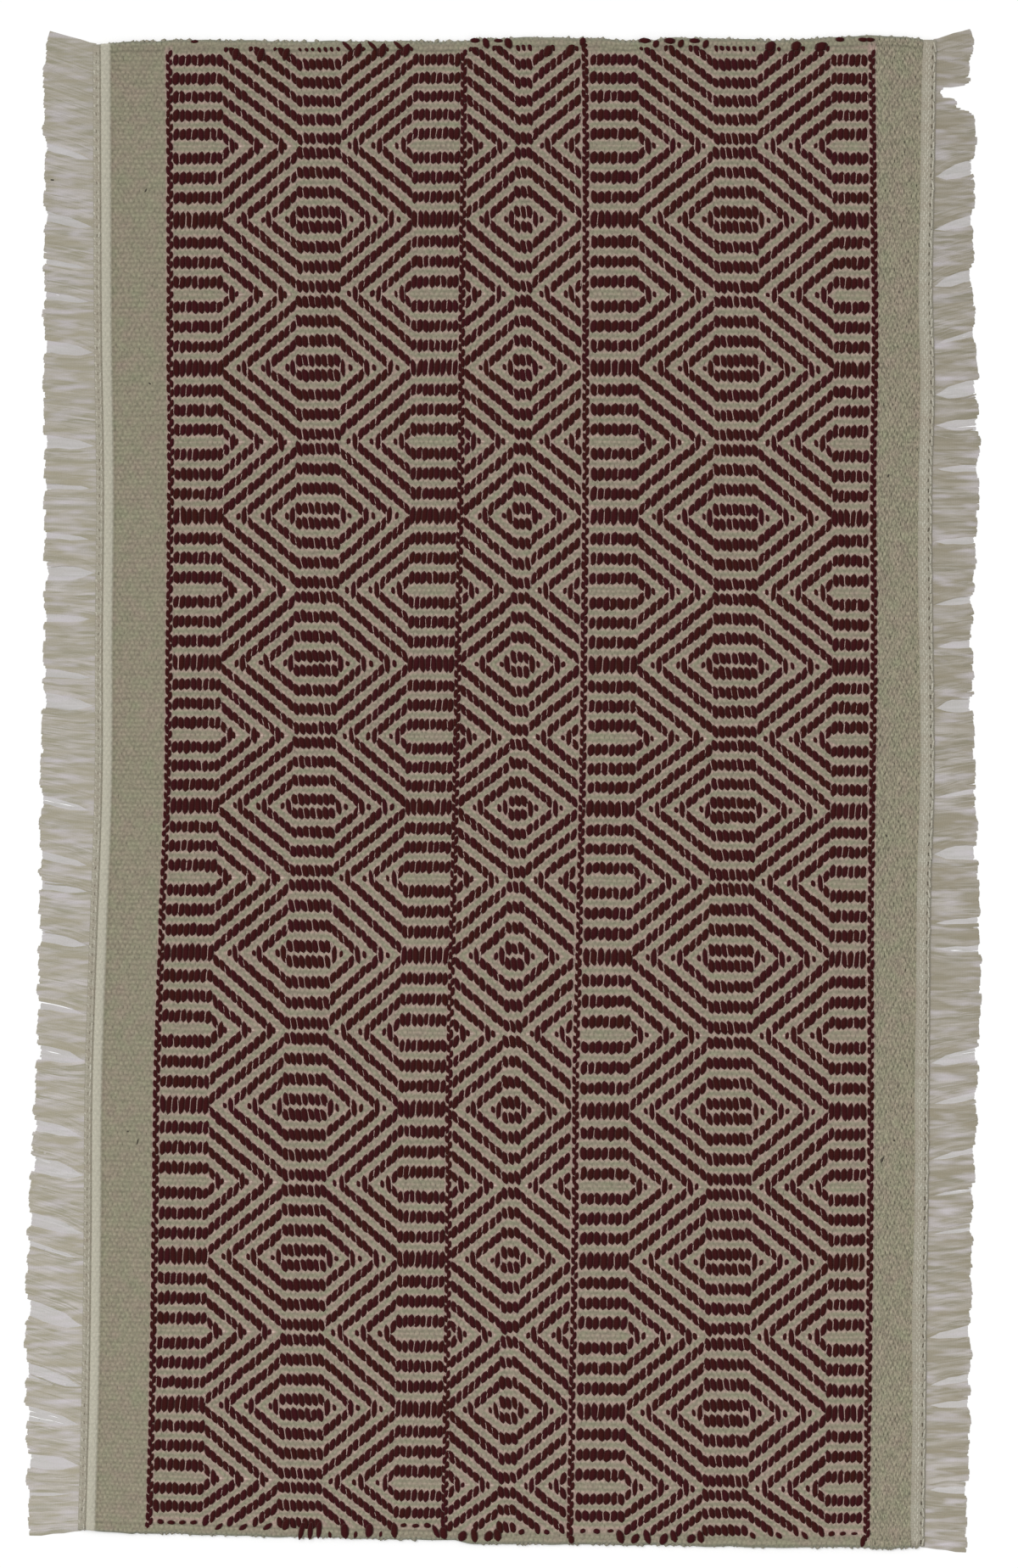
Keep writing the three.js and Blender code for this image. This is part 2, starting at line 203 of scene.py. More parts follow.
# Where the dark picks turn at the two selvedges, in runs of like marks: how many,
# the place of the first, their spacing, their size and how they lean
FAR_MARKS = table(
    "count x y step half_width half_length lean",
    (1, -188.6, 445.1, 0, 2.3, 1, 0),
    (3, -163.9, 437.5, 15, 2.4, 4.2, 0.15),
    (3, -97, 442.8, 15.3, 1.9, 3, -0.8),
    (3, -90.3, 440.3, 14.5, 2.3, 4.6, 0.2),
    (2, -20.4, 445.9, 14.2, 2.9, 1.4, 0),
    (2, -14, 444.1, 13.7, 2.2, 3, -0.15),
    (2, -20.4, 439.8, 14.2, 1.9, 3.1, -0.5),
    (2, 22.9, 439.8, 13.7, 3, 4.1, 0.25),
    (1, 44.1, 444.9, 0, 1.9, 2.8, 0),
    (3, 81.4, 445.7, 15, 3.5, 1.9, 0),
    (3, 88.1, 443.8, 15, 2, 2.7, 0.15),
    (3, 157, 442.3, 15.1, 3.6, 3.4, 0.1),
    (1, 198.5, 446.4, 0, 2.5, 1.7, 0),
    (2, 212.3, 446.4, 4.3, 3, 1.5, 0),
)
NEAR_MARKS = table(
    "count x y step half_width half_length lean",
    (4, -209.2, -442.8, 6.65, 2.3, 1.45, 0),
    (3, -173.9, -445.6, 14.6, 2.2, 2.6, 0.65),
    (1, -133.7, -444.2, 0, 2.4, 3.5, 0.3),
    (3, -124.4, -447.4, 5.2, 1.7, 5.7, 0.1),
    (3, -107.5, -450, 15.3, 1.1, 2.4, 0),
    (3, -98.6, -447.9, 14.9, 2.5, 5, 0),
    (3, -63, -444.9, 7, 2.1, 1.4, 0),
    (1, -43.6, -448.4, 0, 1.7, 4.2, -0.35),
    (1, -39.2, -449.3, 0, 2.2, 4, 0),
    (2, -28.1, -451.2, 15.8, 2.8, 3.2, 0.1),
    (2, -20.9, -450.7, 13.7, 2.2, 4.4, -0.1),
    (2, 7.5, -448.8, 15.1, 1.8, 2, 0),
    (1, 37.5, -453, 0, 1.9, 2.8, 0),
    (3, 44.4, -448.2, 8.15, 2.1, 1.35, 0),
    (4, 66.7, -451.5, 16.1, 2.3, 4.4, -0.15),
    (3, 75.8, -452.7, 16.8, 2.6, 3.4, 0.2),
    (3, 146.4, -450.8, 15.4, 1.9, 2.3, -0.35),
    (3, 193.3, -449.4, 6.95, 2.1, 1.3, 0),
    (1, 212.3, -454.3, 0, 1.8, 3.7, 0.1),
)

# Specks of dark lint that lie on the rug
LINT = table(
    "x y half_length half_width lean",
    (-217.8, 356.3, 1.2, 0.5, 0.3),
    (-215.8, 240.3, 0.9, 0.6, -0.3),
    (-274.2, 362.6, 0.45, 1, 0),
    (-222.8, -214.5, 1.8, 0.4, 0.1),
    (-229, -208.5, 0.8, 0.5, 0),
    (227.5, 185, 1.1, 0.5, 0.2),
    (226.5, -31, 1.2, 0.5, -0.2),
    (223.8, -225.3, 1.7, 0.7, 0.15),
    (231.1, -213.8, 0.9, 0.6, 0),
)

# Heights above the floor
BAND_TOP = 2.15
PANEL_TOP = 2.10
PANEL_UNDER = 0.50
BAND_UNDER = 0.12
HEM_TOP = 3.45
ROLL_TOP = 3.0
EDGE_TOP = 1.5
STRIP_FOOT = 0.1
LINT_AXIS = 2.45
FRINGE_LINT_AXIS = 0.65
LINT_HALF_HEIGHT = 0.25

# Lens shapes along Y, given by rings between two points. The floats of the back, the pale
# threads and loops and the stitches are coarse, and all others are fine.
FINE_RINGS = table("along width", (-0.72, 0.66), (-0.36, 1.0), (0.36, 1.0), (0.72, 0.66))
FINE_ANGLES = (-126, -54, 18, 90, 162)
COARSE_RINGS = table("along width", (-0.55, 0.93), (0.55, 0.93))
COARSE_ANGLES = (-90, 0, 90, 180)
TIP_HOOK = 0.45
BOW_MIDDLE = 0.4

# Dark floats: how they lean, their width as a share of the picks' spacing, and their size
SLOPE_LEAN = 0.18
LEAN_BIAS = -0.03
FLAT_LEANS = (0.03, -0.12)
FLAT_SHARE = 0.565
TALL_SHARE = 0.5
SLOPE_SHARE = 0.53
FLOAT_OVERREACH = 1.1
DOT_OVERREACH = 0.75
DOT_HALF_WIDTH = 1.3
FLOAT_HALF_HEIGHT = 0.38
FLOAT_AXIS = 2.46
FLOAT_DIP = 0.3
BACK_WIDTH = 0.9
BACK_CLEARANCE = 0.04
FLOAT_COLUMNS = ("x", "y", "half_length", "half_width", "lean")
FLOAT_SPREAD = {"swell": 0.07, "x": 0.13, "y": 0.18, "half_length": 0.24, "lean": 0.045, "bow": 0.16}

# Pale warp threads that show between some neighbouring floats; their pink is painted light reflected
# from the red floats
THREAD_SHARE = 0.28
THREAD_HALF_WIDTH = 0.42
THREAD_HALF_HEIGHT = 0.28
THREAD_AXIS = 2.53
FLAT_THREAD_INSET = 0.9
SLOPE_THREAD_INSET = 1.5

# Loops of undyed weft at the selvedges
LOOP_PITCH = 3.0
LOOP_INSET = (0.9, 1.8)
LOOP_HALF_LENGTH = (1.7, 2.3)
LOOP_HALF_WIDTH = (1.1, 1.8)
LOOP_HALF_HEIGHT = 0.9
LOOP_WANDER = 0.5
LOOP_LEAN = 0.2
LOOP_AXIS = 1.75

# Dark marks at the selvedges: their height from the edge inwards
MARK_AXIS = table("inset height", (0.0, 2.1), (2.0, 3.0), (9.0, 2.65))
MARK_HALF_HEIGHT = table("inset height", (0.0, 1.1), (3.0, 0.6))

# Beaded lines
LINE_OFFSET = 0.8
LINE_LEAN = 0.05
LINE_FLOAT_HALF = 2.7
LINE_HALF_WIDTH = 1.3
LINE_AXIS = 2.55
LINE_STARTS = {"a": -20, "b": -20, "c": -22, "d": -20}

# Fringe yarns: an under layer side by side, and an upper layer strewn over it. Their rise is
# a share of their radius.
LAYERS = table("radius rise lift stray", (1.6, 0.3, 0.0, 0.24), (0.5, 0.8, 0.16, 0.96))
STRAND_LENGTH = 30.0
GAP_SPREAD = 10.0
YARN_STATIONS = np.array([-0.07, 0.08, 0.3, 0.52, 0.76, 1.0])
YARN_TAPER = np.array([1, 1, 1, 1, 0.95, 0.7])
YARN_PITCH = 1.15
UPPER_SHARE = 0.9
UNDERSIDE = 0.1
BED_HEIGHT = 0.11
ROOT_RISE = 0.2
UPPER_SHORTER = (0.5, 3.0)
LEAST_REACH = 1.5
REACH_SPREAD = 0.25
CLUMP_WIDTH = 6.5
BUNCHING = 0.15
NOTCH_DEPTH = 1.3
NOTCH_WIDTH = 1.8
WAVE_HEIGHT = 0.25
WAVE_LENGTH = (9, 18)
WAVE_LIFT = 0.04
ROOT_SPREAD = 0.15
RADIUS_SPREAD = 0.08

# Thin plies that fan out from a few millimetres of the heading across a gap, laid close as a pale grey
# veil: painted shade of the floor there, with a few real loose plies
WISPS_PER_MM = 2.0
WISP_ROOTS = 3.0
WISP_OVERLAP = 4.0
WISP_RADIUS = (0.7, 1.0)
WISP_HEIGHT = (0.06, 0.11)
WISP_RISE = 0.08
WISP_SHORTER = 0.5
WISP_SHORTER_SHARE = 0.15
WISP_WAVE_HEIGHT = 0.3
WISP_WAVE_STEP = 2.6


def along(rows, key, column, at):
    """A smooth curve through one column of a table whose key column rises."""
    keys, values = rows[key], rows[column]
    last = len(keys) - 1
    here = np.arange(last + 1)
    ahead, behind = np.minimum(here + 1, last), np.maximum(here - 1, 0)
    slope = (values[ahead] - values[behind]) / (keys[ahead] - keys[behind])
    at = np.clip(at, keys[0], keys[-1])
    i = np.clip(np.searchsorted(keys, at) - 1, 0, last - 1)
    span = keys[i + 1] - keys[i]
    t = (at - keys[i]) / span
    start = values[i] * (1 + 2 * t) * (1 - t) ** 2
    end = values[i + 1] * t * t * (3 - 2 * t)
    bend = span * t * (1 - t) * (slope[i] * (1 - t) - slope[i + 1] * t)
    return start + end + bend


def drift(line, y):
    return along(SEAM if line == "seam" else DRIFT, "y", line, y)


def near_edge(x):
    return along(SELVEDGES, "x", "near", x)


def far_edge(x):
    return along(SELVEDGES, "x", "far", x)


# model.glb says where the rug lies: the near left corner of its cloth fixes the shift
cloth_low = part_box("rug_cloth")[0]
LEFT_NOMINAL = drift("hem", 0.0) - HEM_HALF
RIGHT_NOMINAL = drift("seam", 0.0) - HEADING_RIGHT_INNER - PARTING
near_corner_x = drift("hem", near_edge(LEFT_NOMINAL)) - HEM_HALF
lowest_y = min(near_edge(drift("d", 0.0) + LINE_HALF), near_edge(RIGHT_NOMINAL))
SHIFT = np.array([cloth_low.x / MM - near_corner_x, cloth_low.y / MM - lowest_y, 0.0])


# Places in the weave

# Where the drifting lines and the right edge of the cloth lie at mid-rug
COLUMN_ANCHORS = {line: drift(line, 0.0) for line in ("hem", *LINE_STARTS)}
COLUMN_ANCHORS["seam"] = RIGHT_NOMINAL


def column_x(nominal, y):
    """Where a lengthwise thread that crosses mid-rug at nominal lies at y."""
    nominal, y = np.broadcast_arrays(nominal, y)
    shifts = np.stack([drift(line, y) - drift(line, 0.0) for line in COLUMN_ANCHORS])
    count = len(COLUMN_ANCHORS)
    place = np.interp(nominal, [*COLUMN_ANCHORS.values()], np.arange(count))
    i = np.minimum(place.astype(int), count - 2)
    share = place - i
    before = np.take_along_axis(shifts, i[None], 0)[0]
    after = np.take_along_axis(shifts, i[None] + 1, 0)[0]
    return nominal + before * (1 - share) + after * share


def anchor_weights(x):
    """Shares of the three block columns at x, from a parabola through them."""
    shares = {}
    for name, here in BLOCK_ANCHORS.items():
        one, other = (anchor for anchor in BLOCK_ANCHORS.values() if anchor != here)
        shares[name] = (x - one) * (x - other) / ((here - one) * (here - other))
    return shares


def block_y(x, block):
    """The height on the rug of a block number, at x."""
    inside = np.clip(block, FIRST_BLOCK, LAST_BLOCK)
    beyond = BLOCK * (block - inside)
    weights = anchor_weights(x)
    return sum(weights[name] * along(BLOCK_ROWS, "block", name, inside) for name in weights) - beyond


def block_at(x, y):
    """The block number at a place on the rug."""
    blocks = np.arange(FIRST_BLOCK - BLOCK_MARGIN, LAST_BLOCK + BLOCK_MARGIN + 1)
    weights = anchor_weights(x)
    return sum(weights[name] * np.interp(-y, -block_y(anchor, blocks), blocks)
               for name, anchor in BLOCK_ANCHORS.items())


def treadle(block):
    """The weave counts up and down and turns at every 15th block, but not beyond its ends."""
    block = np.asarray(block)
    phase = np.mod(block, 2 * TURN)
    inner = np.where(phase <= TURN, TURN - phase, phase - TURN)
    before, after = TURN + block, TURN - (block - LAST_TURN)
    return np.where(block < 0, before, np.where(block > LAST_TURN, after, inner))


def is_up(kind, block):
    """Whether a pick of this kind shows on the face at a block."""
    return np.mod(treadle(block) - kind, 4) < 2


def runs(shows):
    """First and last index of each unbroken run of true values."""
    edges = np.flatnonzero(np.diff(np.concatenate([[False], shows, [False]]).astype(int)))
    return edges[::2], edges[1::2] - 1


def panel_picks(panel):
    """Each dark pick of a panel: its group's row, its share of the width and its kind.

    The kind runs on from pick to pick, so that it never jumps by more than one.
    """
    groups, picks, place, kind = panel["groups"], [], 0.0, 0
    for row in zip(*groups.values()):
        group = dict(zip(groups, row))
        for k in range(int(group["count"])):
            kind += (group["kind"] + group["step"] * k - kind + 1) % 4 - 1
            picks.append({**group, "kind": kind, "place": place})
            place += group["pitch"]
    widest = picks[-1]["place"]
    return [{**pick, "share": pick["place"] / widest} for pick in picks]


def pick_x(panel, share, y):
    """Where a pick lies between its panel's two drifting lines."""
    low = drift(panel["lines"][0], y) + panel["first"]
    high = drift(panel["lines"][1], y) - panel["last"]
    return low + (high - low) * share


# Meshes

def new_object(name, data):
    thing = bpy.data.objects.new(name, data)
    bpy.context.scene.collection.objects.link(thing)
    return thing


def make_piece(name, points, corners, counts, maps, finish, slot, smooth=True):
    """A mesh piece from points in millimetres, face corners and corner counts per face."""
    mesh = bpy.data.meshes.new(name)
    mesh.vertices.add(len(points))
    mesh.vertices.foreach_set("co", ((points + SHIFT) * MM).astype(np.float32).ravel())
    mesh.loops.add(len(corners))
    mesh.loops.foreach_set("vertex_index", corners.astype(np.int32))
    mesh.polygons.add(len(counts))
    starts = np.concatenate([[0], np.cumsum(counts)[:-1]])
    mesh.polygons.foreach_set("loop_start", starts.astype(np.int32))
    mesh.update(calc_edges=True)
    mesh.polygons.foreach_set("use_smooth", np.broadcast_to(smooth, len(counts)))
    for label, values in maps.items():
        layer = mesh.uv_layers.new(name=label)
        layer.uv.foreach_set("vector", values[corners].astype(np.float32).ravel())
    mesh.materials.append(finish)
    piece = new_object(name, mesh)
    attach(piece, "root")
    return piece


def repeat_faces(template, stride, copies):
    """Corners and counts of many copies of one small mesh."""
    flat = np.concatenate([np.array(face) for face in template])
    counts = np.array([len(face) for face in template])
    corners = (flat[None, :] + stride * np.arange(copies)[:, None]).ravel()
    return corners, np.tile(counts, copies)


def tube_faces(count, sides, pointed):
    """Faces of a closed tube of rings, with a point or a flat cap at each end."""
    first = 1 if pointed else 0
    rings = [[first + k * sides + s for s in range(sides)] for k in range(count)]
    turned = [ring[1:] + ring[:1] for ring in rings]
    faces = []
    for k in range(count - 1):
        faces += zip(rings[k], turned[k], turned[k + 1], rings[k + 1])
    if pointed:
        tip = first + count * sides
        faces += [(0, after, here) for here, after in zip(rings[0], turned[0])]
        faces += [(here, after, tip) for here, after in zip(rings[-1], turned[-1])]
    else:
        faces += [rings[0][::-1], rings[-1]]
    return faces


def stacked(*columns):
    """Columns as the rows of one array, single numbers repeated."""
    return np.stack(np.broadcast_arrays(*columns))


def noises(spreads, count):
    """Random differences of each measure, in the order in which the spreads name them."""
    return {name: dice.normal(0, spread, count) for name, spread in spreads.items()}


def paired(shape, first, second):
    """Two numbers for every point of a mesh."""
    pair = [np.broadcast_to(values, shape) for values in (first, second)]
    return np.stack(pair, -1).reshape(-1, 2)


def lens_mesh(lens, rings, angles):
    """Closed lens shapes lying along Y, one for each entry of the arrays in lens."""
    angles = np.radians(angles)
    s = np.concatenate([[-1.0], np.repeat(rings["along"], len(angles)), [1.0]])
    across, rise = (np.concatenate([[0.0], np.outer(rings["width"], part).ravel(), [0.0]])
                    for part in (np.cos(angles), np.sin(angles)))
    column = {name: np.asarray(values, float)[:, None] for name, values in lens.items()}
    y = column["y"] + s * column["half_length"]
    x = column["x"] + across * column["half_width"]
    x = x + column["lean"] * s * column["half_length"] + column["bow"] * (s * s - BOW_MIDDLE)
    x = x + TIP_HOOK * np.sign(column["lean"]) * s ** 3
    z = column["axis"] - column["dip"] * s * s + rise * column["half_height"]
    points = np.stack([x, y, z], -1).reshape(-1, 3)
    faces = tube_faces(len(rings["along"]), len(angles), True)
    corners, counts = repeat_faces(faces, len(s), len(y))
    around = np.concatenate([[0.0], np.tile(angles, len(rings["along"])), [0.0]])
    maps = {"thread": paired(y.shape, around, y), "tint": paired(y.shape, column["tint"], s)}
    return points, corners, counts, maps


def float_ends(pick, face):
    """First and last block of each float of a pick, without a stub in the last block."""
    blocks = np.arange(FIRST_BLOCK, LAST_BLOCK + 1)
    first, last = (blocks[ends] for ends in runs(is_up(pick["kind"], blocks) == face))
    whole = (first < last) | (last < LAST_BLOCK)
    return first[whole], last[whole]


def pick_floats(panel, pick, face):
    """The floats of one pick: their places and sizes, how they lean and which are tall."""
    first, last = float_ends(pick, face)
    extra = last - first
    middle = block_y(pick_x(panel, pick["share"], 0.0), (first + last) / 2)
    x = pick_x(panel, pick["share"], middle)
    top, bottom = block_y(x, first - 0.5), block_y(x, last + 0.5)
    slope = -pick["step"] * np.sign(treadle(last) - treadle(first))
    turn = pick["step"] * np.where(treadle(last) > treadle(last + 1), 1, -1)
    if pick["step"] == 0:
        lean = np.full(len(x), FLAT_LEANS[int(pick["kind"] % 2)])
        share = np.full(len(x), FLAT_SHARE)
    else:
        lean = SLOPE_LEAN * slope + LEAN_BIAS
        share = np.where(extra > 1, TALL_SHARE, SLOPE_SHARE)
    short = extra < 1
    return {
        "x": x + np.where(short, np.where(turn > 0, pick["right"], pick["left"]), 0.0),
        "y": (top + bottom) / 2,
        "half_length": (top - bottom) / 2 + np.where(short, DOT_OVERREACH, FLOAT_OVERREACH),
        "half_width": np.where(short, DOT_HALF_WIDTH, pick["pitch"] * share),
        "lean": lean,
        "slope": slope,
        "turn": np.where(extra > 1, turn, 0),
        "short": short,
    }


def panel_floats(panel, face):
    """All floats of a panel, on the face or on the back of the rug."""
    picks = [pick_floats(panel, pick, face) for pick in panel_picks(panel)]
    return float_lens([[floats[name] for name in FLOAT_COLUMNS] for floats in picks], face)


def panel_threads(panel):
    """Pale threads between neighbouring floats: beside each tall one at a turn, and some others."""
    parts = []
    for pick in panel_picks(panel):
        floats = pick_floats(panel, pick, True)
        tall = floats["turn"] != 0
        shows = tall | (dice.random(len(tall)) < THREAD_SHARE)
        shows &= ~floats["short"]
        side = np.where(tall, -floats["turn"], np.where(dice.random(len(tall)) < 0.5, 1, -1))
        x = floats["x"] + side * pick["pitch"] / 2
        y = floats["y"] + floats["slope"] * side * BLOCK / 2
        inset = np.where(floats["slope"] == 0, FLAT_THREAD_INSET, SLOPE_THREAD_INSET)
        half_length = floats["half_length"] - inset
        parts.append(stacked(x, y, half_length, THREAD_HALF_WIDTH, floats["lean"])[:, shows])
    return float_lens(parts, True, axis=THREAD_AXIS, half_height=THREAD_HALF_HEIGHT)


def float_lens(parts, face, **fixed):
    """The uneven shapes of floats, from parts that each hold the float columns.

    Measures named in fixed are taken as they are.
    """
    x, y, half_length, half_width, lean = np.concatenate(parts, 1)
    count = len(x)
    noise = noises(FLOAT_SPREAD, count)
    swell = 1 + noise["swell"]
    half_height = FLOAT_HALF_HEIGHT * swell
    lens = {
        "x": x + noise["x"],
        "y": y + noise["y"],
        "half_length": half_length + noise["half_length"],
        "half_width": half_width * swell * (1.0 if face else BACK_WIDTH),
        "half_height": half_height,
        "lean": lean + noise["lean"],
        "bow": noise["bow"],
        "axis": FLOAT_AXIS if face else half_height + BACK_CLEARANCE,
        "dip": FLOAT_DIP if face else -FLOAT_DIP,
        "tint": dice.random(count),
        **fixed,
    }
    return {name: np.broadcast_to(values, count) for name, values in lens.items()}


def line_floats(face):
    """The beaded lines: two neighbouring picks that show in turn, block by block."""
    parts = []
    for name, start in LINE_STARTS.items():
        blocks = np.arange(start, LAST_BLOCK + 2)
        y = block_y(drift(name, 0.0), blocks + 0.0)
        side = np.where(blocks % 2 == 0, 1.0, -1.0) * (1 if face else -1)
        x = drift(name, y) + side * LINE_OFFSET
        parts.append(stacked(x, y, LINE_FLOAT_HALF, LINE_HALF_WIDTH, side * LINE_LEAN))
    return float_lens(parts, face, **({"axis": LINE_AXIS} if face else {}))


def end_marks(rows):
    """The loops and wraps of dark picks at one selvedge."""
    parts = []
    for count, x, y, step, half_width, half_length, lean in zip(*rows.values()):
        parts.append(stacked(x + step * np.arange(count), y, half_length, half_width, lean))
    lens = float_lens(parts, True)
    inset = np.minimum(far_edge(lens["x"]) - lens["y"], lens["y"] - near_edge(lens["x"]))
    lens["axis"] = np.interp(inset, *MARK_AXIS.values())
    lens["half_height"] = np.interp(inset, *MARK_HALF_HEIGHT.values())
    return lens


def edge_loops():
    """Where the undyed wefts turn round the outermost warp thread at both selvedges."""
    parts = []
    for edge, outward in ((far_edge, 1), (near_edge, -1)):
        x = np.arange(LEFT_NOMINAL + RIDGE_HALF, RIGHT_NOMINAL, LOOP_PITCH)
        count = len(x)
        x = x + dice.normal(0, LOOP_WANDER, count)
        y = edge(x) - outward * dice.uniform(*LOOP_INSET, count)
        half_length = dice.uniform(*LOOP_HALF_LENGTH, count)
        half_width = dice.uniform(*LOOP_HALF_WIDTH, count)
        parts.append(stacked(x, y, half_length, half_width, dice.normal(0, LOOP_LEAN, count)))
    return float_lens(parts, True, axis=LOOP_AXIS, half_height=LOOP_HALF_HEIGHT)


def lint_specks():
    """Short dark fibres that lie on the cloth and on the fringe."""
    axis = np.where(LINT["x"] < LEFT_NOMINAL, FRINGE_LINT_AXIS, LINT_AXIS)
    return float_lens([[*LINT.values()]], True, axis=axis, half_height=LINT_HALF_HEIGHT)


def join_lenses(*lenses):
    return {name: np.concatenate([lens[name] for lens in lenses]) for name in lenses[0]}


def float_piece(name, lens, fine, finish, slot="pattern_weft"):
    rings, angles = (FINE_RINGS, FINE_ANGLES) if fine else (COARSE_RINGS, COARSE_ANGLES)
    return make_piece(name, *lens_mesh(lens, rings, angles), finish, slot)


# The cloth

# The two plain bands end beside the outer beaded lines
BAND_ENDS = (drift("a", 0.0) - 1.5, drift("d", 0.0) + 1.5)
BAND_RELIEF = (0.1, 0.09)

# The sheet's grid: its columns on the hem ridge and over the panels, its rows on the rolled
# ends, and how many columns and rows a cell of the back spans
RIDGE_COLUMNS = (0.0, 0.15, 0.45, 0.9, 1.8, 3.1, 4.2, 5.1, 5.9, 6.7)
PANEL_COLUMNS = 125
ROLL_INSETS = np.array([0.0, 0.5, 1.2, 2.0, 3.0, 4.1, 5.5])
BACK_STEPS = (4, 8)

# The hem ridge falls steeply outwards and gently inwards. The rolled ends are highest at
# their middle and fall away at the very edge.
RIDGE_FOOT = 4.0
RIDGE_STEEPNESS = (7.0, 2.2)
ROLL_MIDDLE = 2.7
ROLL_REACH = 2.9
FALL_REACH = 0.9


def sheet_columns():
    """Nominal places of the sheet's lengthwise grid lines, and which are fine ones."""
    ridge = LEFT_NOMINAL + np.array(RIDGE_COLUMNS)
    band_left = np.arange(ridge[-1] + 0.6, BAND_ENDS[0], WEAVE_PITCH / 2)
    band_right = np.arange(BAND_ENDS[1], RIGHT_NOMINAL - 0.4, WEAVE_PITCH / 2)
    panels = np.linspace(band_left[-1], band_right[0], PANEL_COLUMNS)[1:-1]
    parts = (ridge, band_left, panels, band_right, [RIGHT_NOMINAL])
    fine = np.repeat([True, True, False, True, True], [len(part) for part in parts])
    return np.concatenate(parts), fine


def unevenness(x, y):
    """The cloth's own slow rise and fall, from crossed waves."""
    return 0.06 * np.sin(x / 31 + 1.3 * np.sin(y / 57)) * np.sin(y / 23 + 0.8 * np.sin(x / 41))


def sheet_height(nominal, x, y, u, v, inset):
    """Height of the cloth's face, with its plain weave in the two bands."""
    hem = nominal - (LEFT_NOMINAL + HEM_HALF + RIDGE_SHIFT)
    half, steepness = np.where(hem < 0, RIDGE_HALF, RIDGE_FOOT), np.where(hem < 0, *RIDGE_STEEPNESS)
    ridge = np.clip(1 - np.abs(hem / half) ** steepness, 0, 1)
    in_left, in_right = nominal < BAND_ENDS[0], nominal > BAND_ENDS[1]
    relief = (in_left * BAND_RELIEF[0] + in_right * BAND_RELIEF[1]) * (hem > RIDGE_HALF)
    z = np.where(in_left | in_right, BAND_TOP, PANEL_TOP) + unevenness(x, y)
    z = z + relief * np.cos(np.pi * u) * np.cos(np.pi * v)
    roll = np.clip(1 - np.abs(inset - ROLL_MIDDLE) / ROLL_REACH, 0, 1) ** 0.55
    z = z + (ROLL_TOP - z) * roll
    z = z + (HEM_TOP - z) * ridge
    fall = np.clip(1 - inset / FALL_REACH, 0, 1) ** 2
    return z + (EDGE_TOP - z) * fall


def kind_at(nominal):
    """The weave kind across the rug, running on smoothly from pick to pick."""
    places, kinds = [], []
    for panel in PANELS:
        for pick in panel_picks(panel):
            places.append(pick_x(panel, pick["share"], 0.0))
            kinds.append(pick["kind"])
    return np.interp(nominal, places, kinds)


def cloth_sheet(finish):
    """The whole cloth as one closed sheet, with the weave's own count in its maps."""
    nominal, fine = sheet_columns()
    column = nominal[:, None]
    blocks = np.arange(FIRST_BLOCK + 2, LAST_BLOCK - 1 + 0.25, 0.5)
    wobble = 0.5 * np.sin(nominal / 9.3) * np.sin(nominal / 23 + 1) + 0.25 * np.sin(nominal / 3.7)
    far = far_edge(column) + wobble[:, None]
    near = near_edge(column) - wobble[::-1, None]
    y = np.concatenate([far - ROLL_INSETS, block_y(column, blocks), near + ROLL_INSETS[::-1]], 1)
    inset = np.minimum(far - y, y - near)
    x = column_x(column, y)
    u, v = column / WEAVE_PITCH, block_at(x, y)
    place = [x, y, sheet_height(column, x, y, u, v, inset)]
    weave, zone = np.broadcast_arrays(u, v), np.broadcast_arrays(kind_at(column), inset)
    keep = np.ones(y.shape, bool)
    keep[~fine, 1::2] = False
    return grid_piece(*(np.stack(grid, -1) for grid in (place, weave, zone)), keep, fine, finish)


def face_cells(ids, fine):
    """Cells of the upper grid. Beside a coarse column a cell spans two rows."""
    cells = []
    for i in range(len(ids) - 1):
        step = 1 if fine[i] and fine[i + 1] else 2
        for j in range(0, ids.shape[1] - 1, step):
            left, right = (ids[k, j:j + step + 1] for k in (i, i + 1))
            cells.append([*left[left >= 0], *right[right >= 0][::-1]])
    return cells


def wall_cells(ids, back, back_i, back_j):
    """Walls between the edges of the upper grid and those of the coarse back."""
    cells = []
    for a, (i, next_i) in enumerate(zip(back_i, back_i[1:])):
        cells.append([back[a + 1, 0], back[a, 0], *ids[i:next_i + 1, 0]])
        cells.append([back[a, -1], back[a + 1, -1], *ids[i:next_i + 1, -1][::-1]])
    for b, (j, next_j) in enumerate(zip(back_j, back_j[1:])):
        left, right = (side[side >= 0] for side in ids[[0, -1], j:next_j + 1])
        cells.append([back[0, b], back[0, b + 1], *left[::-1]])
        cells.append([back[-1, b + 1], back[-1, b], *right])
    return cells


def grid_piece(place, weave, zone, keep, fine, finish):
    """A closed sheet: a face grid with fine and coarse columns, walls, and a coarse back."""
    ids = np.full(keep.shape, -1)
    ids[keep] = np.arange(keep.sum())
    back_i, back_j = ([*range(0, size - 1, step), size - 1]
                      for size, step in zip(keep.shape, BACK_STEPS))
    back = keep.sum() + np.arange(len(back_i) * len(back_j)).reshape(len(back_i), len(back_j))
    x, y = place[..., 0], place[..., 1]
    in_pattern = (x > drift("a", y) - 1) & (x < drift("d", y) + 1)
    under = place.copy()
    under[..., 2] = np.where(in_pattern, PANEL_UNDER, BAND_UNDER)
    back_cells = np.stack([back[:-1, :-1], back[1:, :-1], back[1:, 1:], back[:-1, 1:]], -1)
    faces = [*face_cells(ids, fine), *back_cells.reshape(-1, 4), *wall_cells(ids, back, back_i, back_j)]
    points, weave, zone = (
        np.concatenate([upper[keep], lower[np.ix_(back_i, back_j)].reshape(-1, lower.shape[-1])])
        for upper, lower in ((place, under), (weave, weave), (zone, zone))
    )
    corners, counts = repeat_faces(faces, 0, 1)
    maps = {"weave": weave, "zone": zone}
    return make_piece("cloth_sheet", points, corners, counts, maps, finish, "cloth")


# The fringes

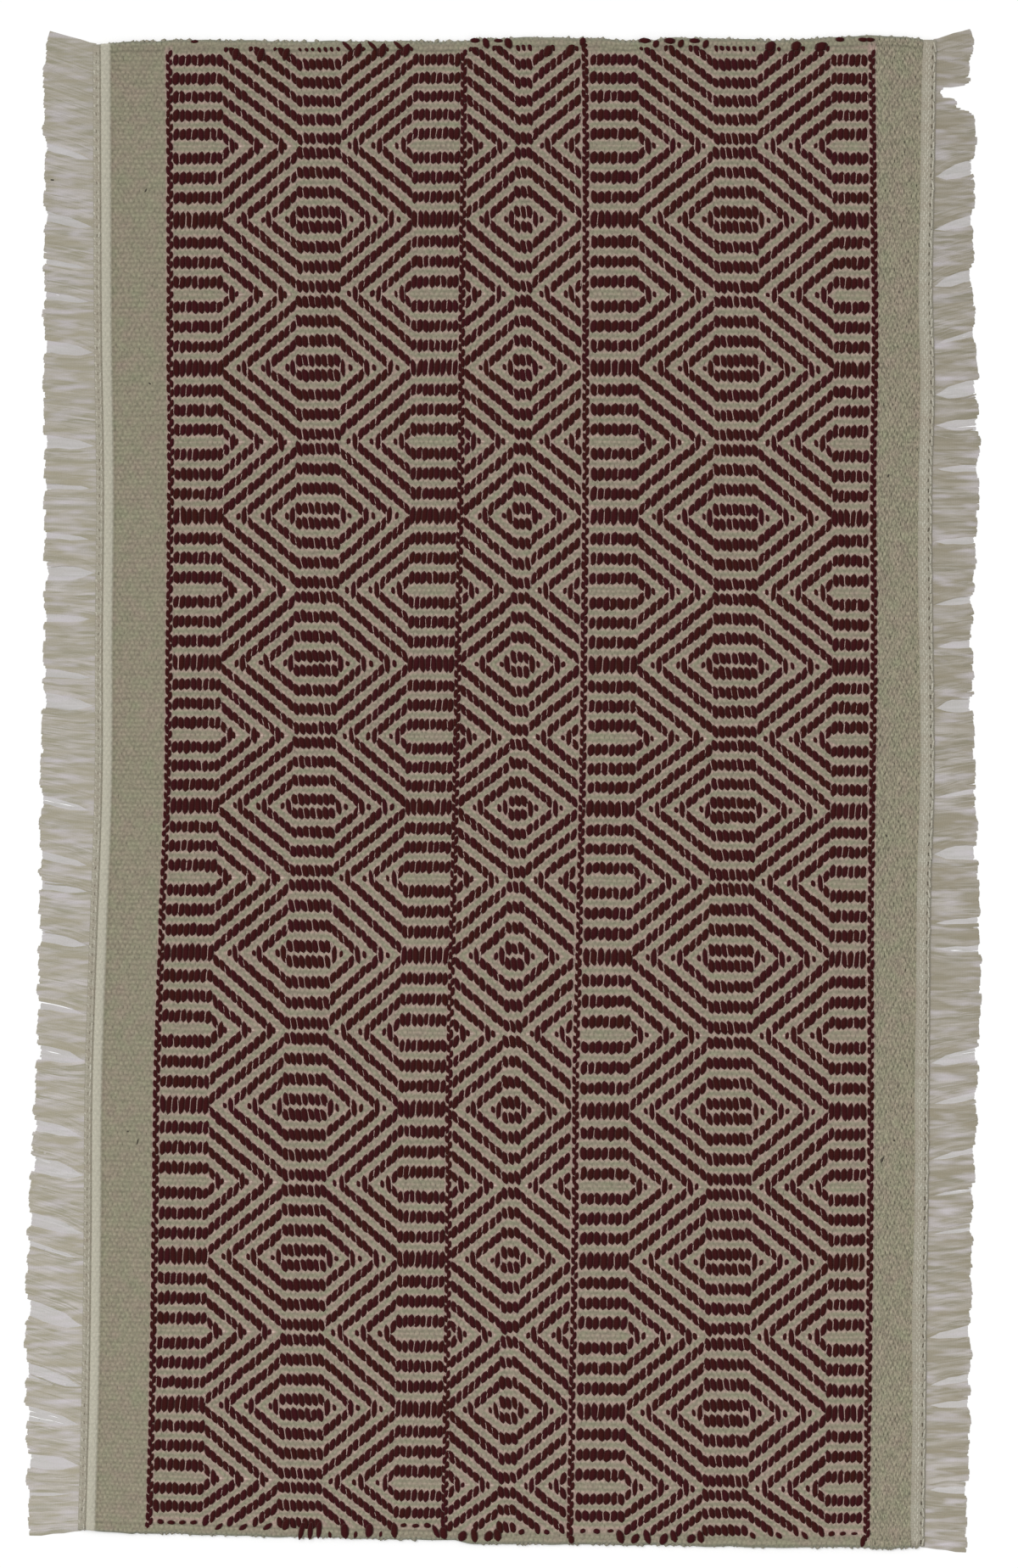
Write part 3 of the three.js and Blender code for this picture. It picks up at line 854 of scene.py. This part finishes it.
def root_x(side, y):
    """Where the fringe leaves its heading."""
    return drift(side["line"], y) + side["root"]


def strands(side, column, root):
    """How far the strands reach or are swept, by where their roots lie."""
    return along(side["rows"], "y", column, root)


def gap_roots(side):
    """Where the gaps between the locks start at the heading."""
    y = side["gaps"]["y"]
    return y - strands(side, "sweep", y) / 2


def opening(distance):
    """How far a gap has opened at a distance from the heading, from 0 to 1."""
    return 1 - (1 - np.clip(distance / STRAND_LENGTH, 0, 1)) ** 4


def strand_y(side, root, distance):
    """The way of strands from their roots: swept, and pushed aside by the parted locks."""
    away = root[..., None] - gap_roots(side)
    spread = np.sign(away) * 0.5 * side["gaps"]["open"] * np.exp(-np.abs(away) / GAP_SPREAD)
    swept = strands(side, "sweep", root) * np.maximum(distance, 0) / STRAND_LENGTH
    return root + swept + opening(distance) * spread.sum(-1)


def fringe_roots(side):
    """Roots of the under layer, side by side, then of the upper layer, and which are upper."""
    nominal = root_x(side, 0.0)
    low, high = near_edge(nominal) + 1.0, far_edge(nominal) - 1.0
    count = int((high - low) / YARN_PITCH)
    under = np.linspace(low, high, count) + dice.normal(0, ROOT_SPREAD, count)
    upper = dice.uniform(low + 1, high - 1, int(count * UPPER_SHARE))
    root = np.concatenate([np.sort(under), np.sort(upper)])
    return root, np.repeat([False, True], [len(under), len(upper)])


def yarn_reach(side, root, upper, clump):
    """How far yarns reach: each clump has its own length, and beside a gap they are shorter."""
    clump_length = 0.6 * np.sin(clump * 2.3) + 0.4 * np.sin(clump * 5.1 + 1)
    reach = strands(side, "reach", root) + clump_length + dice.normal(0, REACH_SPREAD, len(root))
    reach = reach - upper * dice.uniform(*UPPER_SHORTER, len(root))
    beside = np.abs(root[:, None] - gap_roots(side)).min(1)
    return np.maximum(reach - NOTCH_DEPTH * np.exp(-beside / NOTCH_WIDTH), LEAST_REACH)


def fringe_piece(side, finish):
    """The locks: a bed of soft yarns with finer ones strewn over it."""
    root, upper = fringe_roots(side)
    count = len(root)
    clump = np.floor(root / CLUMP_WIDTH + 0.35 * np.sin(root / 9.0))
    distance = YARN_STATIONS * yarn_reach(side, root, upper, clump)[:, None]
    loose = np.clip(YARN_STATIONS, 0, 1)
    y = strand_y(side, root[:, None], distance)
    middle = np.array([root[clump == c].mean() for c in clump])
    y = y + (strand_y(side, middle[:, None], distance) - y) * BUNCHING * loose ** 1.5
    phase, wave = dice.uniform(0, 6.28, count)[:, None], dice.uniform(*WAVE_LENGTH, count)[:, None]
    y = y + WAVE_HEIGHT * np.sin(distance * 6.28 / wave + phase) * np.minimum(loose * 3, 1)
    layer = {name: values[upper.astype(int)][:, None] for name, values in LAYERS.items()}
    y = y + dice.normal(0, 1, count)[:, None] * layer["stray"] * loose
    x = root_x(side, root)[:, None] + side["outward"] * distance
    thickness = dice.normal(1, RADIUS_SPREAD, count)[:, None]
    radius = layer["radius"] * thickness * YARN_TAPER
    z = BED_HEIGHT + ROOT_RISE * (1 - loose) ** 3 + layer["lift"]
    z = z + WAVE_LIFT * np.sin(distance / 5 + phase * 2)
    return yarn_piece("fringe_yarns_" + side["name"], x, y, z, radius, layer["rise"], finish)


def shade_veil(side, finish):
    """A veil of thin plies that fans across the gaps between the locks: painted shade of the floor
    there, among a few real loose plies.
    """
    parts = []
    sweeps = strands(side, "sweep", side["gaps"]["y"])
    for gap_root, sweep, width in zip(gap_roots(side), sweeps, side["gaps"]["open"]):
        count = int(width * WISPS_PER_MM)
        fan = (np.arange(count) + 0.5) / count - 0.5
        root = gap_root + fan * WISP_ROOTS + dice.normal(0, 0.3, count)
        target = fan * (width + WISP_OVERLAP - WISP_ROOTS) + dice.normal(0, 0.35, count)
        shorter = WISP_SHORTER + WISP_SHORTER_SHARE * width * dice.uniform(0.7, 1.3, count)
        parts.append(stacked(root, target, sweep, shorter))
    root, target, sweep, shorter = np.concatenate(parts, 1)[..., None]
    distance = YARN_STATIONS * (strands(side, "reach", root) - shorter)
    loose = np.clip(distance / STRAND_LENGTH, 0, 1)
    phase = dice.uniform(0, 6.28, root.shape)
    y = root + sweep * loose + target * opening(distance)
    y = y + WISP_WAVE_HEIGHT * np.sin(distance / WISP_WAVE_STEP + phase) * np.minimum(loose * 3, 1)
    x = root_x(side, root) + side["outward"] * distance
    radius = np.broadcast_to(dice.uniform(*WISP_RADIUS, root.shape), x.shape)
    z = dice.uniform(*WISP_HEIGHT, root.shape) + ROOT_RISE * (1 - loose) ** 3
    return yarn_piece("fringe_wisps_" + side["name"], x, y, z, radius, WISP_RISE, finish)


def yarn_piece(name, x, y, z, radius, rise_share, finish):
    """Flattened yarns as closed tubes with four sides, that run mostly along X."""
    count, stations = x.shape
    rise = radius * rise_share
    angles = np.radians([0.0, 90.0, 180.0, 270.0])
    lift = np.array([0.0, 1.0, 0.0, -UNDERSIDE])
    dx, dy = np.gradient(x, axis=1), np.gradient(y, axis=1)
    length = np.hypot(dx, dy)
    aside = (radius / length)[..., None] * np.cos(angles)
    points = np.stack([
        x[..., None] - dy[..., None] * aside,
        y[..., None] + dx[..., None] * aside,
        z[..., None] + rise[..., None] * lift,
    ], -1)
    faces = tube_faces(stations, len(angles), False)
    corners, counts = repeat_faces(faces, stations * len(angles), count)
    upper = np.concatenate([np.tile([True, True, False, False], stations - 1), [False, False]])
    run, share = np.cumsum(length, 1)[..., None], np.linspace(0, 1, stations)[:, None]
    tint = dice.random(count)[:, None, None]
    maps = {"thread": paired(aside.shape, angles, run), "tint": paired(aside.shape, tint, share)}
    piece = make_piece(name, points.reshape(-1, 3), corners, counts, maps, finish, "fringe",
                       np.tile(upper, count))
    crease_sides(piece.data)
    return piece


def crease_sides(mesh):
    """Parts the shading of a yarn's upper faces from its flat underside."""
    ends = np.empty(len(mesh.edges) * 2, np.int32)
    mesh.edges.foreach_get("vertices", ends)
    low, high = ends.reshape(-1, 2).min(1), ends.reshape(-1, 2).max(1)
    sides = (high - low == 4) & (low % 2 == 0)
    creases = mesh.attributes.new("sharp_edge", "BOOLEAN", "EDGE")
    creases.data.foreach_set("value", sides)


# The headings

# Rows of stitches, and rows of dark dashes that are painted shade at the needle holes: offset from the
# heading's line, pitch, half length, half width, height of the top, lean, and where the row starts, as
# a share of the pitch
STITCHES = (
    ("heading_thread_left", LEFT_FRINGE, "heading_thread", (
        (-3.9, 5, 2.85, 0.8, 2.2, 0, 0),
        (-6.3, 5, 1.6, 0.8, 1.8, -0.1, 0.45),
    )),
    # Dark dashes at the left needle holes: painted shade
    ("needle_thread_left", LEFT_FRINGE, "needle_thread_left", (
        (-2.75, 5.2, 1.2, 0.45, 2.3, 0.05, 0),
        (-5.1, 5.2, 1.4, 0.6, 2.05, 0, 0.95),
    )),
    ("heading_thread_right", RIGHT_FRINGE, "heading_thread", (
        (-4.8, 3.9, 1.9, 0.72, 2.5, 0.1, 0),
        (-3.5, 3.9, 2.1, 0.72, 2.6, -0.1, 0.5),
        (-2.1, 3.9, 2, 0.72, 2.6, 0.1, 0),
        (-1, 3.9, 1.8, 0.6, 2.4, -0.05, 0.5),
        (1.2, 5.9, 3.7, 0.62, 2.6, 0, 0),
    )),
    # Dark dashes at the right needle holes: painted shade
    ("needle_thread_right", RIGHT_FRINGE, "needle_thread_right", (
        (0, 5.9, 1.7, 0.62, 2.4, 0, 0),
    )),
)
STITCH_HALF_HEIGHT = 0.5
STITCH_DIP = 0.35
STITCH_SPREAD = {"y": 0.12, "x": 0.12, "half_length": 0.1, "half_width": 0.09,
                 "lean": 0.07, "bow": 0.2, "axis": 0.04}
SEWN_FROM = 2.5
SEWN_TO = 2.0
STRIP_INSET = 0.2
STRIP_RINGS = 240


def strip_piece(side, finish):
    """The low strip of a heading."""
    nominal = root_x(side, 0.0)
    low, high = near_edge(nominal) + STRIP_INSET, far_edge(nominal) - STRIP_INSET
    y = np.linspace(low, high, STRIP_RINGS)
    offsets, heights = side["strip"].values()
    feet = [(offsets[0], STRIP_FOOT), (offsets[-1], STRIP_FOOT)]
    profile = [*feet, *zip(offsets[::-1], heights[::-1])]
    line = drift(side["line"], y)
    points = np.stack([stacked(line + offset, y, height).T for offset, height in profile], 1)
    points = points.reshape(-1, 3)
    faces = [face[::-1] for face in tube_faces(len(y), len(profile), False)]
    corners, counts = repeat_faces(faces, 0, 1)
    maps = {"thread": points[:, :2], "tint": np.full((len(points), 2), 0.5)}
    name = "heading_strip_" + side["name"]
    return make_piece(name, points, corners, counts, maps, finish, "fringe")


def stitches(side, offset, pitch, half_length, half_width, top, lean, phase):
    """A row of short stitches along a heading, at a distance from its line."""
    nominal = root_x(side, 0.0)
    y = np.arange(near_edge(nominal) + SEWN_FROM + phase * pitch, far_edge(nominal) - SEWN_TO, pitch)
    count = len(y)
    noise = noises(STITCH_SPREAD, count)
    y = y + noise["y"]
    return {
        "x": drift(side["line"], y) + offset + noise["x"],
        "y": y,
        "half_length": half_length * (1 + noise["half_length"]),
        "half_width": half_width * (1 + noise["half_width"]),
        "half_height": np.full(count, STITCH_HALF_HEIGHT),
        "lean": lean + noise["lean"],
        "bow": noise["bow"],
        "axis": top - STITCH_HALF_HEIGHT + noise["axis"],
        "dip": np.full(count, STITCH_DIP),
        "tint": dice.random(count),
    }


def heading_pieces(cottons):
    """The two headings: a low strip each, with its rows of stitches and its dashes of painted shade at
    the needle holes.
    """
    pieces = [strip_piece(side, cottons["heading_cloth"]) for side in (LEFT_FRINGE, RIGHT_FRINGE)]
    sewn = {name: (join_lenses(*[stitches(side, *row) for row in rows]), cottons[thread])
            for name, side, thread, rows in STITCHES}
    for name in sorted(sewn):
        lens, finish = sewn[name]
        pieces.append(float_piece(name, lens, False, finish, "fringe"))
    return pieces


# Finishes

LIGHT = 1.16

# How much paler the fringe is at the near end, for each metre
NEAR_END_PALING_RATE = 0.16

SPECULAR = 0.08
SHEEN_ROUGHNESS = 0.6


def cotton(red, green, blue):
    """The dye that looks like this screen colour under the scene's light."""
    shade = np.array([red, green, blue]) / 255
    linear = np.where(shade <= 0.04045, shade / 12.92, ((shade + 0.055) / 1.055) ** 2.4)
    return (*(linear / LIGHT), 1.0)


class Value:
    """A number or a colour in a material's tree, which takes plain arithmetic."""

    def __init__(self, finish, socket):
        self.finish = finish
        self.socket = socket

    def __add__(self, other):
        return self.finish.math("ADD", self, other)

    def __radd__(self, other):
        return self.finish.math("ADD", other, self)

    def __sub__(self, other):
        return self.finish.math("SUBTRACT", self, other)

    def __rsub__(self, other):
        return self.finish.math("SUBTRACT", other, self)

    def __mul__(self, other):
        return self.finish.math("MULTIPLY", self, other)

    def __abs__(self):
        return self.finish.math("ABSOLUTE", self)

    def spread(self, low, high):
        """Maps 0..1 to low..high."""
        return self.finish.add("ShaderNodeMapRange", {0: self, 3: low, 4: high}, clamp=True)

    def fade(self, full, none):
        """1 where the value is at full, 0 where it is at none, and a ramp between."""
        inputs = {0: self, 1: full, 2: none, 3: 1.0, 4: 0.0}
        return self.finish.add("ShaderNodeMapRange", inputs, clamp=True)

    def away(self, places):
        """How far the value is from the nearest of some places."""
        nearest = abs(self - places[0])
        for place in places[1:]:
            nearest = self.finish.math("MINIMUM", nearest, abs(self - place))
        return nearest


class Finish:
    """A small builder for one procedural material."""

    def __init__(self, name, roughness, sheen=0.0):
        self.material = bpy.data.materials.new(name)
        self.material.use_nodes = True
        self.tree = self.material.node_tree
        self.shader = self.tree.nodes["Principled BSDF"]
        look = {"Roughness": roughness, "Specular IOR Level": SPECULAR,
                "Sheen Weight": sheen, "Sheen Roughness": SHEEN_ROUGHNESS}
        for name, value in look.items():
            self.feed(self.shader.inputs[name], value)

    def add(self, kind, inputs=None, output=0, **settings):
        """One output of a new node with these inputs and settings."""
        node = self.tree.nodes.new(kind)
        for key, value in settings.items():
            setattr(node, key, value)
        for key, value in (inputs or {}).items():
            self.feed(node.inputs[key], value)
        return Value(self, node.outputs[output])

    def feed(self, socket, value):
        if isinstance(value, Value):
            self.tree.links.new(value.socket, socket)
        else:
            socket.default_value = value

    def math(self, operation, *values):
        return self.add("ShaderNodeMath", dict(enumerate(values)), operation=operation)

    def mix(self, share, first, second, blend="MIX"):
        inputs = {0: share, 6: first, 7: second}
        return self.add("ShaderNodeMix", inputs, output=2, data_type="RGBA", blend_type=blend)

    def shaded(self, colour, shade):
        """A colour times a number."""
        grey = self.add("ShaderNodeCombineColor", dict.fromkeys(range(3), shade))
        return self.mix(1.0, colour, grey, "MULTIPLY")

    def blend(self, share, first, second):
        """A number between two numbers."""
        return first + share * (second - first)

    def axes(self, label):
        """The two numbers of a mesh's named map."""
        source = self.add("ShaderNodeUVMap", uv_map=label)
        return [self.add("ShaderNodeSeparateXYZ", {0: source}, output=axis) for axis in (0, 1)]

    def place(self):
        return self.add("ShaderNodeTexCoord", output="Object")

    def noise(self, size, detail=2.0, vector=None, roughness=0.5):
        """Noise from 0 to 1 whose patches are about size millimetres wide."""
        return self.add("ShaderNodeTexNoise", {
            "Vector": vector or self.place(), "Scale": 1 / (size * MM),
            "Detail": detail, "Roughness": roughness,
        })

    def stretched(self, across, along=1.0):
        """The place, with X and Y scaled so that noise turns into streaks."""
        scales = (across, along, 1.0)
        return self.add("ShaderNodeVectorMath", {0: self.place(), 1: scales}, operation="MULTIPLY")

    def bump(self, height, distance):
        inputs = {"Distance": distance * MM, "Height": height}
        self.feed(self.shader.inputs["Normal"], self.add("ShaderNodeBump", inputs))

    def colour(self, value):
        self.feed(self.shader.inputs["Base Color"], value)


def row_gap(f, v, kind):
    """How many blocks a place is from the middle of the nearest run of dark floats."""
    woven = f.math("MINIMUM", f.math("MAXIMUM", v, 0.0), LAST_TURN)
    count = TURN - (f.math("PINGPONG", woven, TURN) + abs(v - woven))
    return abs(f.math("WRAP", count - kind - 0.5, 2.0, -2.0))


def red_bounce_share(f, v, gap, inset, place):
    """How much painted light the ground gets beside the dark floats and the beaded lines: a lighter
    pink, as light reflected from the red weft and to offset the shade between the floats.
    """
    lines = [drift(name, 0.0) for name in LINE_STARTS]
    inside = f.math("GREATER_THAN", place, lines[0]) * f.math("LESS_THAN", place, lines[-1])
    woven = f.math("GREATER_THAN", v, FIRST_BLOCK - 0.8) * f.math("LESS_THAN", v, LAST_BLOCK + 0.8)
    near_row = gap.fade(1.15, 1.7) * (inside * woven) * inset.fade(9.0, 5.0)
    near_line = place.away(lines).fade(1.8, 2.8) * inset.fade(6.0, 3.0)
    return f.math("MAXIMUM", near_row, near_line)


def greige_colour(f, v, gap, inset, place):
    """Undyed ground, with painted light in it: a lighter pink beside the dark floats, reflected from
    the red weft and offsetting their shade, and painted shade that makes the rolled ends duller and the
    groove inside them darker.
    """
    cast = f.noise(9.0, 3.0).spread(-0.5, 1.5)
    ground = f.mix(cast, cotton(143, 142, 118), cotton(150, 138, 122))
    # Painted light: a lighter pink beside the dark floats, reflected from the red weft and offsetting
    # the shade between them
    pink = f.mix(f.noise(5.0), cotton(176, 154, 142), cotton(164, 141, 130))
    red_bounce = red_bounce_share(f, v, gap, inset, place)
    base = f.mix(red_bounce, ground, pink)
    warp_line = f.math("PINGPONG", v, TURN).fade(0.0, 0.2) * gap.fade(1.1, 1.3) * (red_bounce * 0.8)
    base = f.mix(warp_line, base, cotton(206, 188, 174))
    # Painted shade: darker and greener on the rolled ends, and darker still in the groove inside them
    base = f.mix(inset.fade(0.6, 2.2) * 0.8, base, cotton(128, 130, 112))
    groove = abs(inset - 5.6).fade(0.2, 1.0) * 0.35
    return f.mix(groove, base, cotton(112, 108, 92))


def weave_shade(f, across, lattice, up, coarse):
    """Pale beads and dark slits of the plain weave, which is coarser in the right band: the beads are
    painted highlights on the yarn crests and the slits painted shade between the yarns.
    """
    narrow = lattice * (across * across)
    patchy = f.noise(3.0, 2.0, f.stretched(1.0, 0.5), 0.7).spread(-0.6, 1.8)
    slit_shade = narrow.fade(-0.8, -0.25) * patchy
    bead_highlight = narrow.fade(0.85, 0.2) * f.noise(2.0)
    rows = f.math("COSINE", up * (2 * np.pi)) * f.blend(coarse, 0.09, 0.06)
    shade = (bead_highlight * 0.4 - slit_shade * 0.62) * f.blend(coarse, 0.62, 1.0) + rows
    strokes = f.noise(0.6, 2.0, f.stretched(1.0, 0.35), 0.6).spread(-1.1, 1.1)
    specks = f.noise(1.5, 1.0).spread(-0.36, 0.36)
    return shade + f.blend(coarse, specks, strokes)


def greige_finish():
    """Undyed weft: a plain weave, paler on the hem and a little paler towards the near end, with
    painted highlights and shade in its weave.
    """
    f = Finish("greige_cotton", 0.95, 0.1)
    u, v = f.axes("weave")
    kind, inset = f.axes("zone")
    place = u * WEAVE_PITCH
    base = greige_colour(f, v, row_gap(f, v, kind), inset, place)
    hem = place.away([drift("hem", 0.0) + RIDGE_SHIFT]).fade(2.0, 3.5)
    base = f.mix(hem, base, cotton(189, 185, 168))
    across = f.math("COSINE", (u + f.noise(12.0, 1.0).spread(-0.25, 0.25)) * np.pi)
    up = v + f.noise(4.0, 1.0).spread(-0.2, 0.2)
    lattice = across * f.math("COSINE", up * np.pi)
    coarse = f.math("GREATER_THAN", place, drift("d", 0.0))
    shade = weave_shade(f, across, lattice, up, coarse) * (1.0 - hem * 0.6)
    # A little paler towards the near end
    near_end_lift = (v - LAST_BLOCK / 2) * (0.06 / LAST_BLOCK)
    grain = f.noise(0.7, 2.0, roughness=0.7).spread(-0.2, 0.2)
    f.colour(f.shaded(base, 1.0 + (shade + near_end_lift + grain)))
    f.bump(lattice * 0.35 + f.noise(0.5, 3.0), 0.25)
    return f.material


def weft_finish():
    """Dark red weft: soft twisted yarn whose dye varies from float to float, turning to a pale mid tone
    at the tips and sides of each float: fuzz, and on the sides painted sheen.
    """
    f = Finish("dark_red_weft", 1.0)
    tint, reach = f.axes("tint")
    around, run = f.axes("thread")
    lot = tint * 0.5 + f.noise(30.0, 2.0).spread(-0.5, 1.0)
    dye = f.mix(lot, cotton(64, 26, 19), cotton(66, 21, 28))
    dye = f.mix(f.noise(14.0, 3.0) * 0.6, dye, cotton(54, 17, 19))
    twist = f.math("SINE", run * 5.5 + around)
    grain = f.noise(0.5, 2.0, roughness=0.7).spread(0.75, 1.25)
    dye = f.shaded(dye, (1.0 + twist * 0.06) * grain)
    # Pale fuzz at the tips of each float, and on its sides pale fuzz with painted sheen
    tip = abs(reach).fade(1.0, 0.72)
    rim_sheen = abs(f.math("COSINE", around)).fade(1.0, 0.72)
    f.colour(f.mix(f.math("MAXIMUM", tip, rim_sheen) * 0.55, dye, cotton(124, 92, 84)))
    f.bump(twist * 0.3 + f.noise(0.4, 2.0), 0.2)
    return f.material


# Undyed yarns: their dark, pale and warm shades on screen, how much their twist shows,
# and how much they turn thin and pale in places and paler towards the near end
COTTONS = {
    "fringe_cotton_left": ((158, 154, 135), (200, 194, 190), (170, 163, 144), 0.4, 1.0),
    "fringe_cotton_right": ((148, 143, 125), (190, 184, 178), (156, 148, 129), 0.4, 1.0),
    # The veil across the fringe gaps is painted shade of the floor
    "fringe_gap_shade": ((188, 186, 182), (206, 203, 203), (194, 190, 187), 0.2, 1.0),
    "heading_thread": ((187, 183, 167), (205, 201, 186), (191, 185, 168), 1.0, 0.0),
    "heading_cloth": ((162, 158, 142), (173, 169, 153), (162, 154, 138), 1.0, 0.0),
    # The dark dashes at the needle holes are painted shade
    "needle_thread_left": ((124, 117, 103), (142, 135, 120), (130, 121, 107), 1.0, 0.0),
    "needle_thread_right": ((92, 86, 74), (120, 113, 99), (104, 95, 82), 1.0, 0.0),
    "selvedge_cotton": ((134, 133, 114), (158, 154, 138), (148, 141, 124), 1.0, 0.0),
    # The pink of the warp threads between the floats is painted light reflected from the red weft
    "thread_with_red_bounce": ((176, 152, 144), (192, 170, 161), (184, 160, 150), 1.0, 0.0),
}


def yarn_finish(name, dark, pale, warm, relief, thin_share):
    """Undyed yarn: twisted, each strand a little different, and thin and pale in places."""
    f = Finish(name, 0.95, 0.1)
    tint = f.axes("tint")[0]
    around, run = f.axes("thread")
    strand = f.noise(2.2, 2.0, f.stretched(0.12)).spread(-1.2, 1.3)
    base = f.mix(tint * 0.9 + strand, cotton(*dark), cotton(*pale))
    streaks = f.noise(7.0, 3.0, f.stretched(0.2)).spread(-0.8, 1.8)
    base = f.mix(streaks, base, cotton(*warm))
    thin = f.noise(5.0, 2.0, f.stretched(0.2)).spread(-1.6, 1.6)
    base = f.mix(thin * thin_share, base, cotton(204, 198, 202))
    twist = f.math("SINE", run * 4.2 + around)
    grain = f.noise(0.6, 2.0, roughness=0.7).spread(0.86, 1.14)
    y = f.add("ShaderNodeSeparateXYZ", {0: f.place()}, output=1)
    near_end_paling = 1.0 - y * (thin_share * NEAR_END_PALING_RATE)
    f.colour(f.shaded(base, (1.0 + twist * (0.05 * relief)) * grain * near_end_paling))
    f.bump(twist * 0.3 + f.noise(0.5, 2.0), 0.2 * relief)
    return f.material


def lint_finish():
    f = Finish("dark_lint", 1.0)
    f.colour(f.mix(f.noise(1.0), cotton(62, 57, 52), cotton(96, 90, 80)))
    f.bump(f.noise(0.3, 2.0), 0.1)
    return f.material


def floor_finish():
    f = Finish("pale_floor", 0.9)
    f.colour(f.mix(f.noise(60.0, 2.0), (0.93, 0.93, 0.93, 1.0), (0.95, 0.95, 0.95, 1.0)))
    return f.material


# Stage, light and camera

FLOOR_SIZE = 14.0
SKY_STRENGTH = 0.62
KEY_STRENGTH = 1.7
KEY_WIDTH = 0.9
KEY_TURN = (-0.32, -0.4, 0.0)
PHOTO_HEIGHT = 940.6
SENSOR = 36.0
LENS = 85.0


def add_floor(finish):
    bpy.ops.mesh.primitive_plane_add(size=FLOOR_SIZE, location=(0, 0, 0))
    floor = bpy.context.object
    floor.name = "studio_floor"
    floor.data.materials.append(finish)


def add_light():
    """A white sky and a soft lamp from one side."""
    world = bpy.data.worlds.new("studio")
    bpy.context.scene.world = world
    world.use_nodes = True
    sky = world.node_tree.nodes["Background"].inputs
    sky[0].default_value = (1.0, 1.0, 1.0, 1.0)
    sky[1].default_value = SKY_STRENGTH
    lamp = bpy.data.lights.new("soft_key", "SUN")
    lamp.energy = KEY_STRENGTH
    lamp.angle = KEY_WIDTH
    new_object("soft_key", lamp).rotation_euler = KEY_TURN
    bpy.context.scene.view_settings.view_transform = "Standard"


def add_camera():
    """Straight above the place that the middle of the picture shows."""
    data = bpy.data.cameras.new("camera")
    data.sensor_width = SENSOR
    data.lens = LENS
    distance = PHOTO_HEIGHT * LENS / SENSOR
    camera = new_object("camera", data)
    camera.location = (SHIFT[0] * MM, SHIFT[1] * MM, (distance + BAND_TOP) * MM)
    bpy.context.scene.camera = camera


add_light()
add_camera()
add_floor(floor_finish())

greige = greige_finish()
weft = weft_finish()
cottons = {name: yarn_finish(name, *look) for name, look in COTTONS.items()}

sheet = cloth_sheet(greige)
extras = []
left, centre, right = PANELS
for face, word in ((True, "face"), (False, "back")):
    middle = join_lenses(panel_floats(centre, face), line_floats(face))
    extras.append(float_piece("floats_left_" + word, panel_floats(left, face), face, weft))
    extras.append(float_piece("floats_centre_" + word, middle, face, weft))
    extras.append(float_piece("floats_right_" + word, panel_floats(right, face), face, weft))
for side in (LEFT_FRINGE, RIGHT_FRINGE):
    yarns = fringe_piece(side, cottons["fringe_cotton_" + side["name"]])
    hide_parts("fringe_" + side["name"])
    extras += [yarns, shade_veil(side, cottons["fringe_gap_shade"])]
extras += heading_pieces(cottons)
turns = join_lenses(end_marks(FAR_MARKS), end_marks(NEAR_MARKS))
extras.append(float_piece("selvedge_turns", turns, True, weft))
extras.append(float_piece("lint", lint_specks(), True, lint_finish(), "cloth"))
threads = join_lenses(*[panel_threads(panel) for panel in PANELS])
extras.append(float_piece("warp_threads", threads, False, cottons["thread_with_red_bounce"], "cloth"))
loops = edge_loops()
extras.append(float_piece("selvedge_loops", loops, False, cottons["selvedge_cotton"], "cloth"))

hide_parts("rug_cloth")
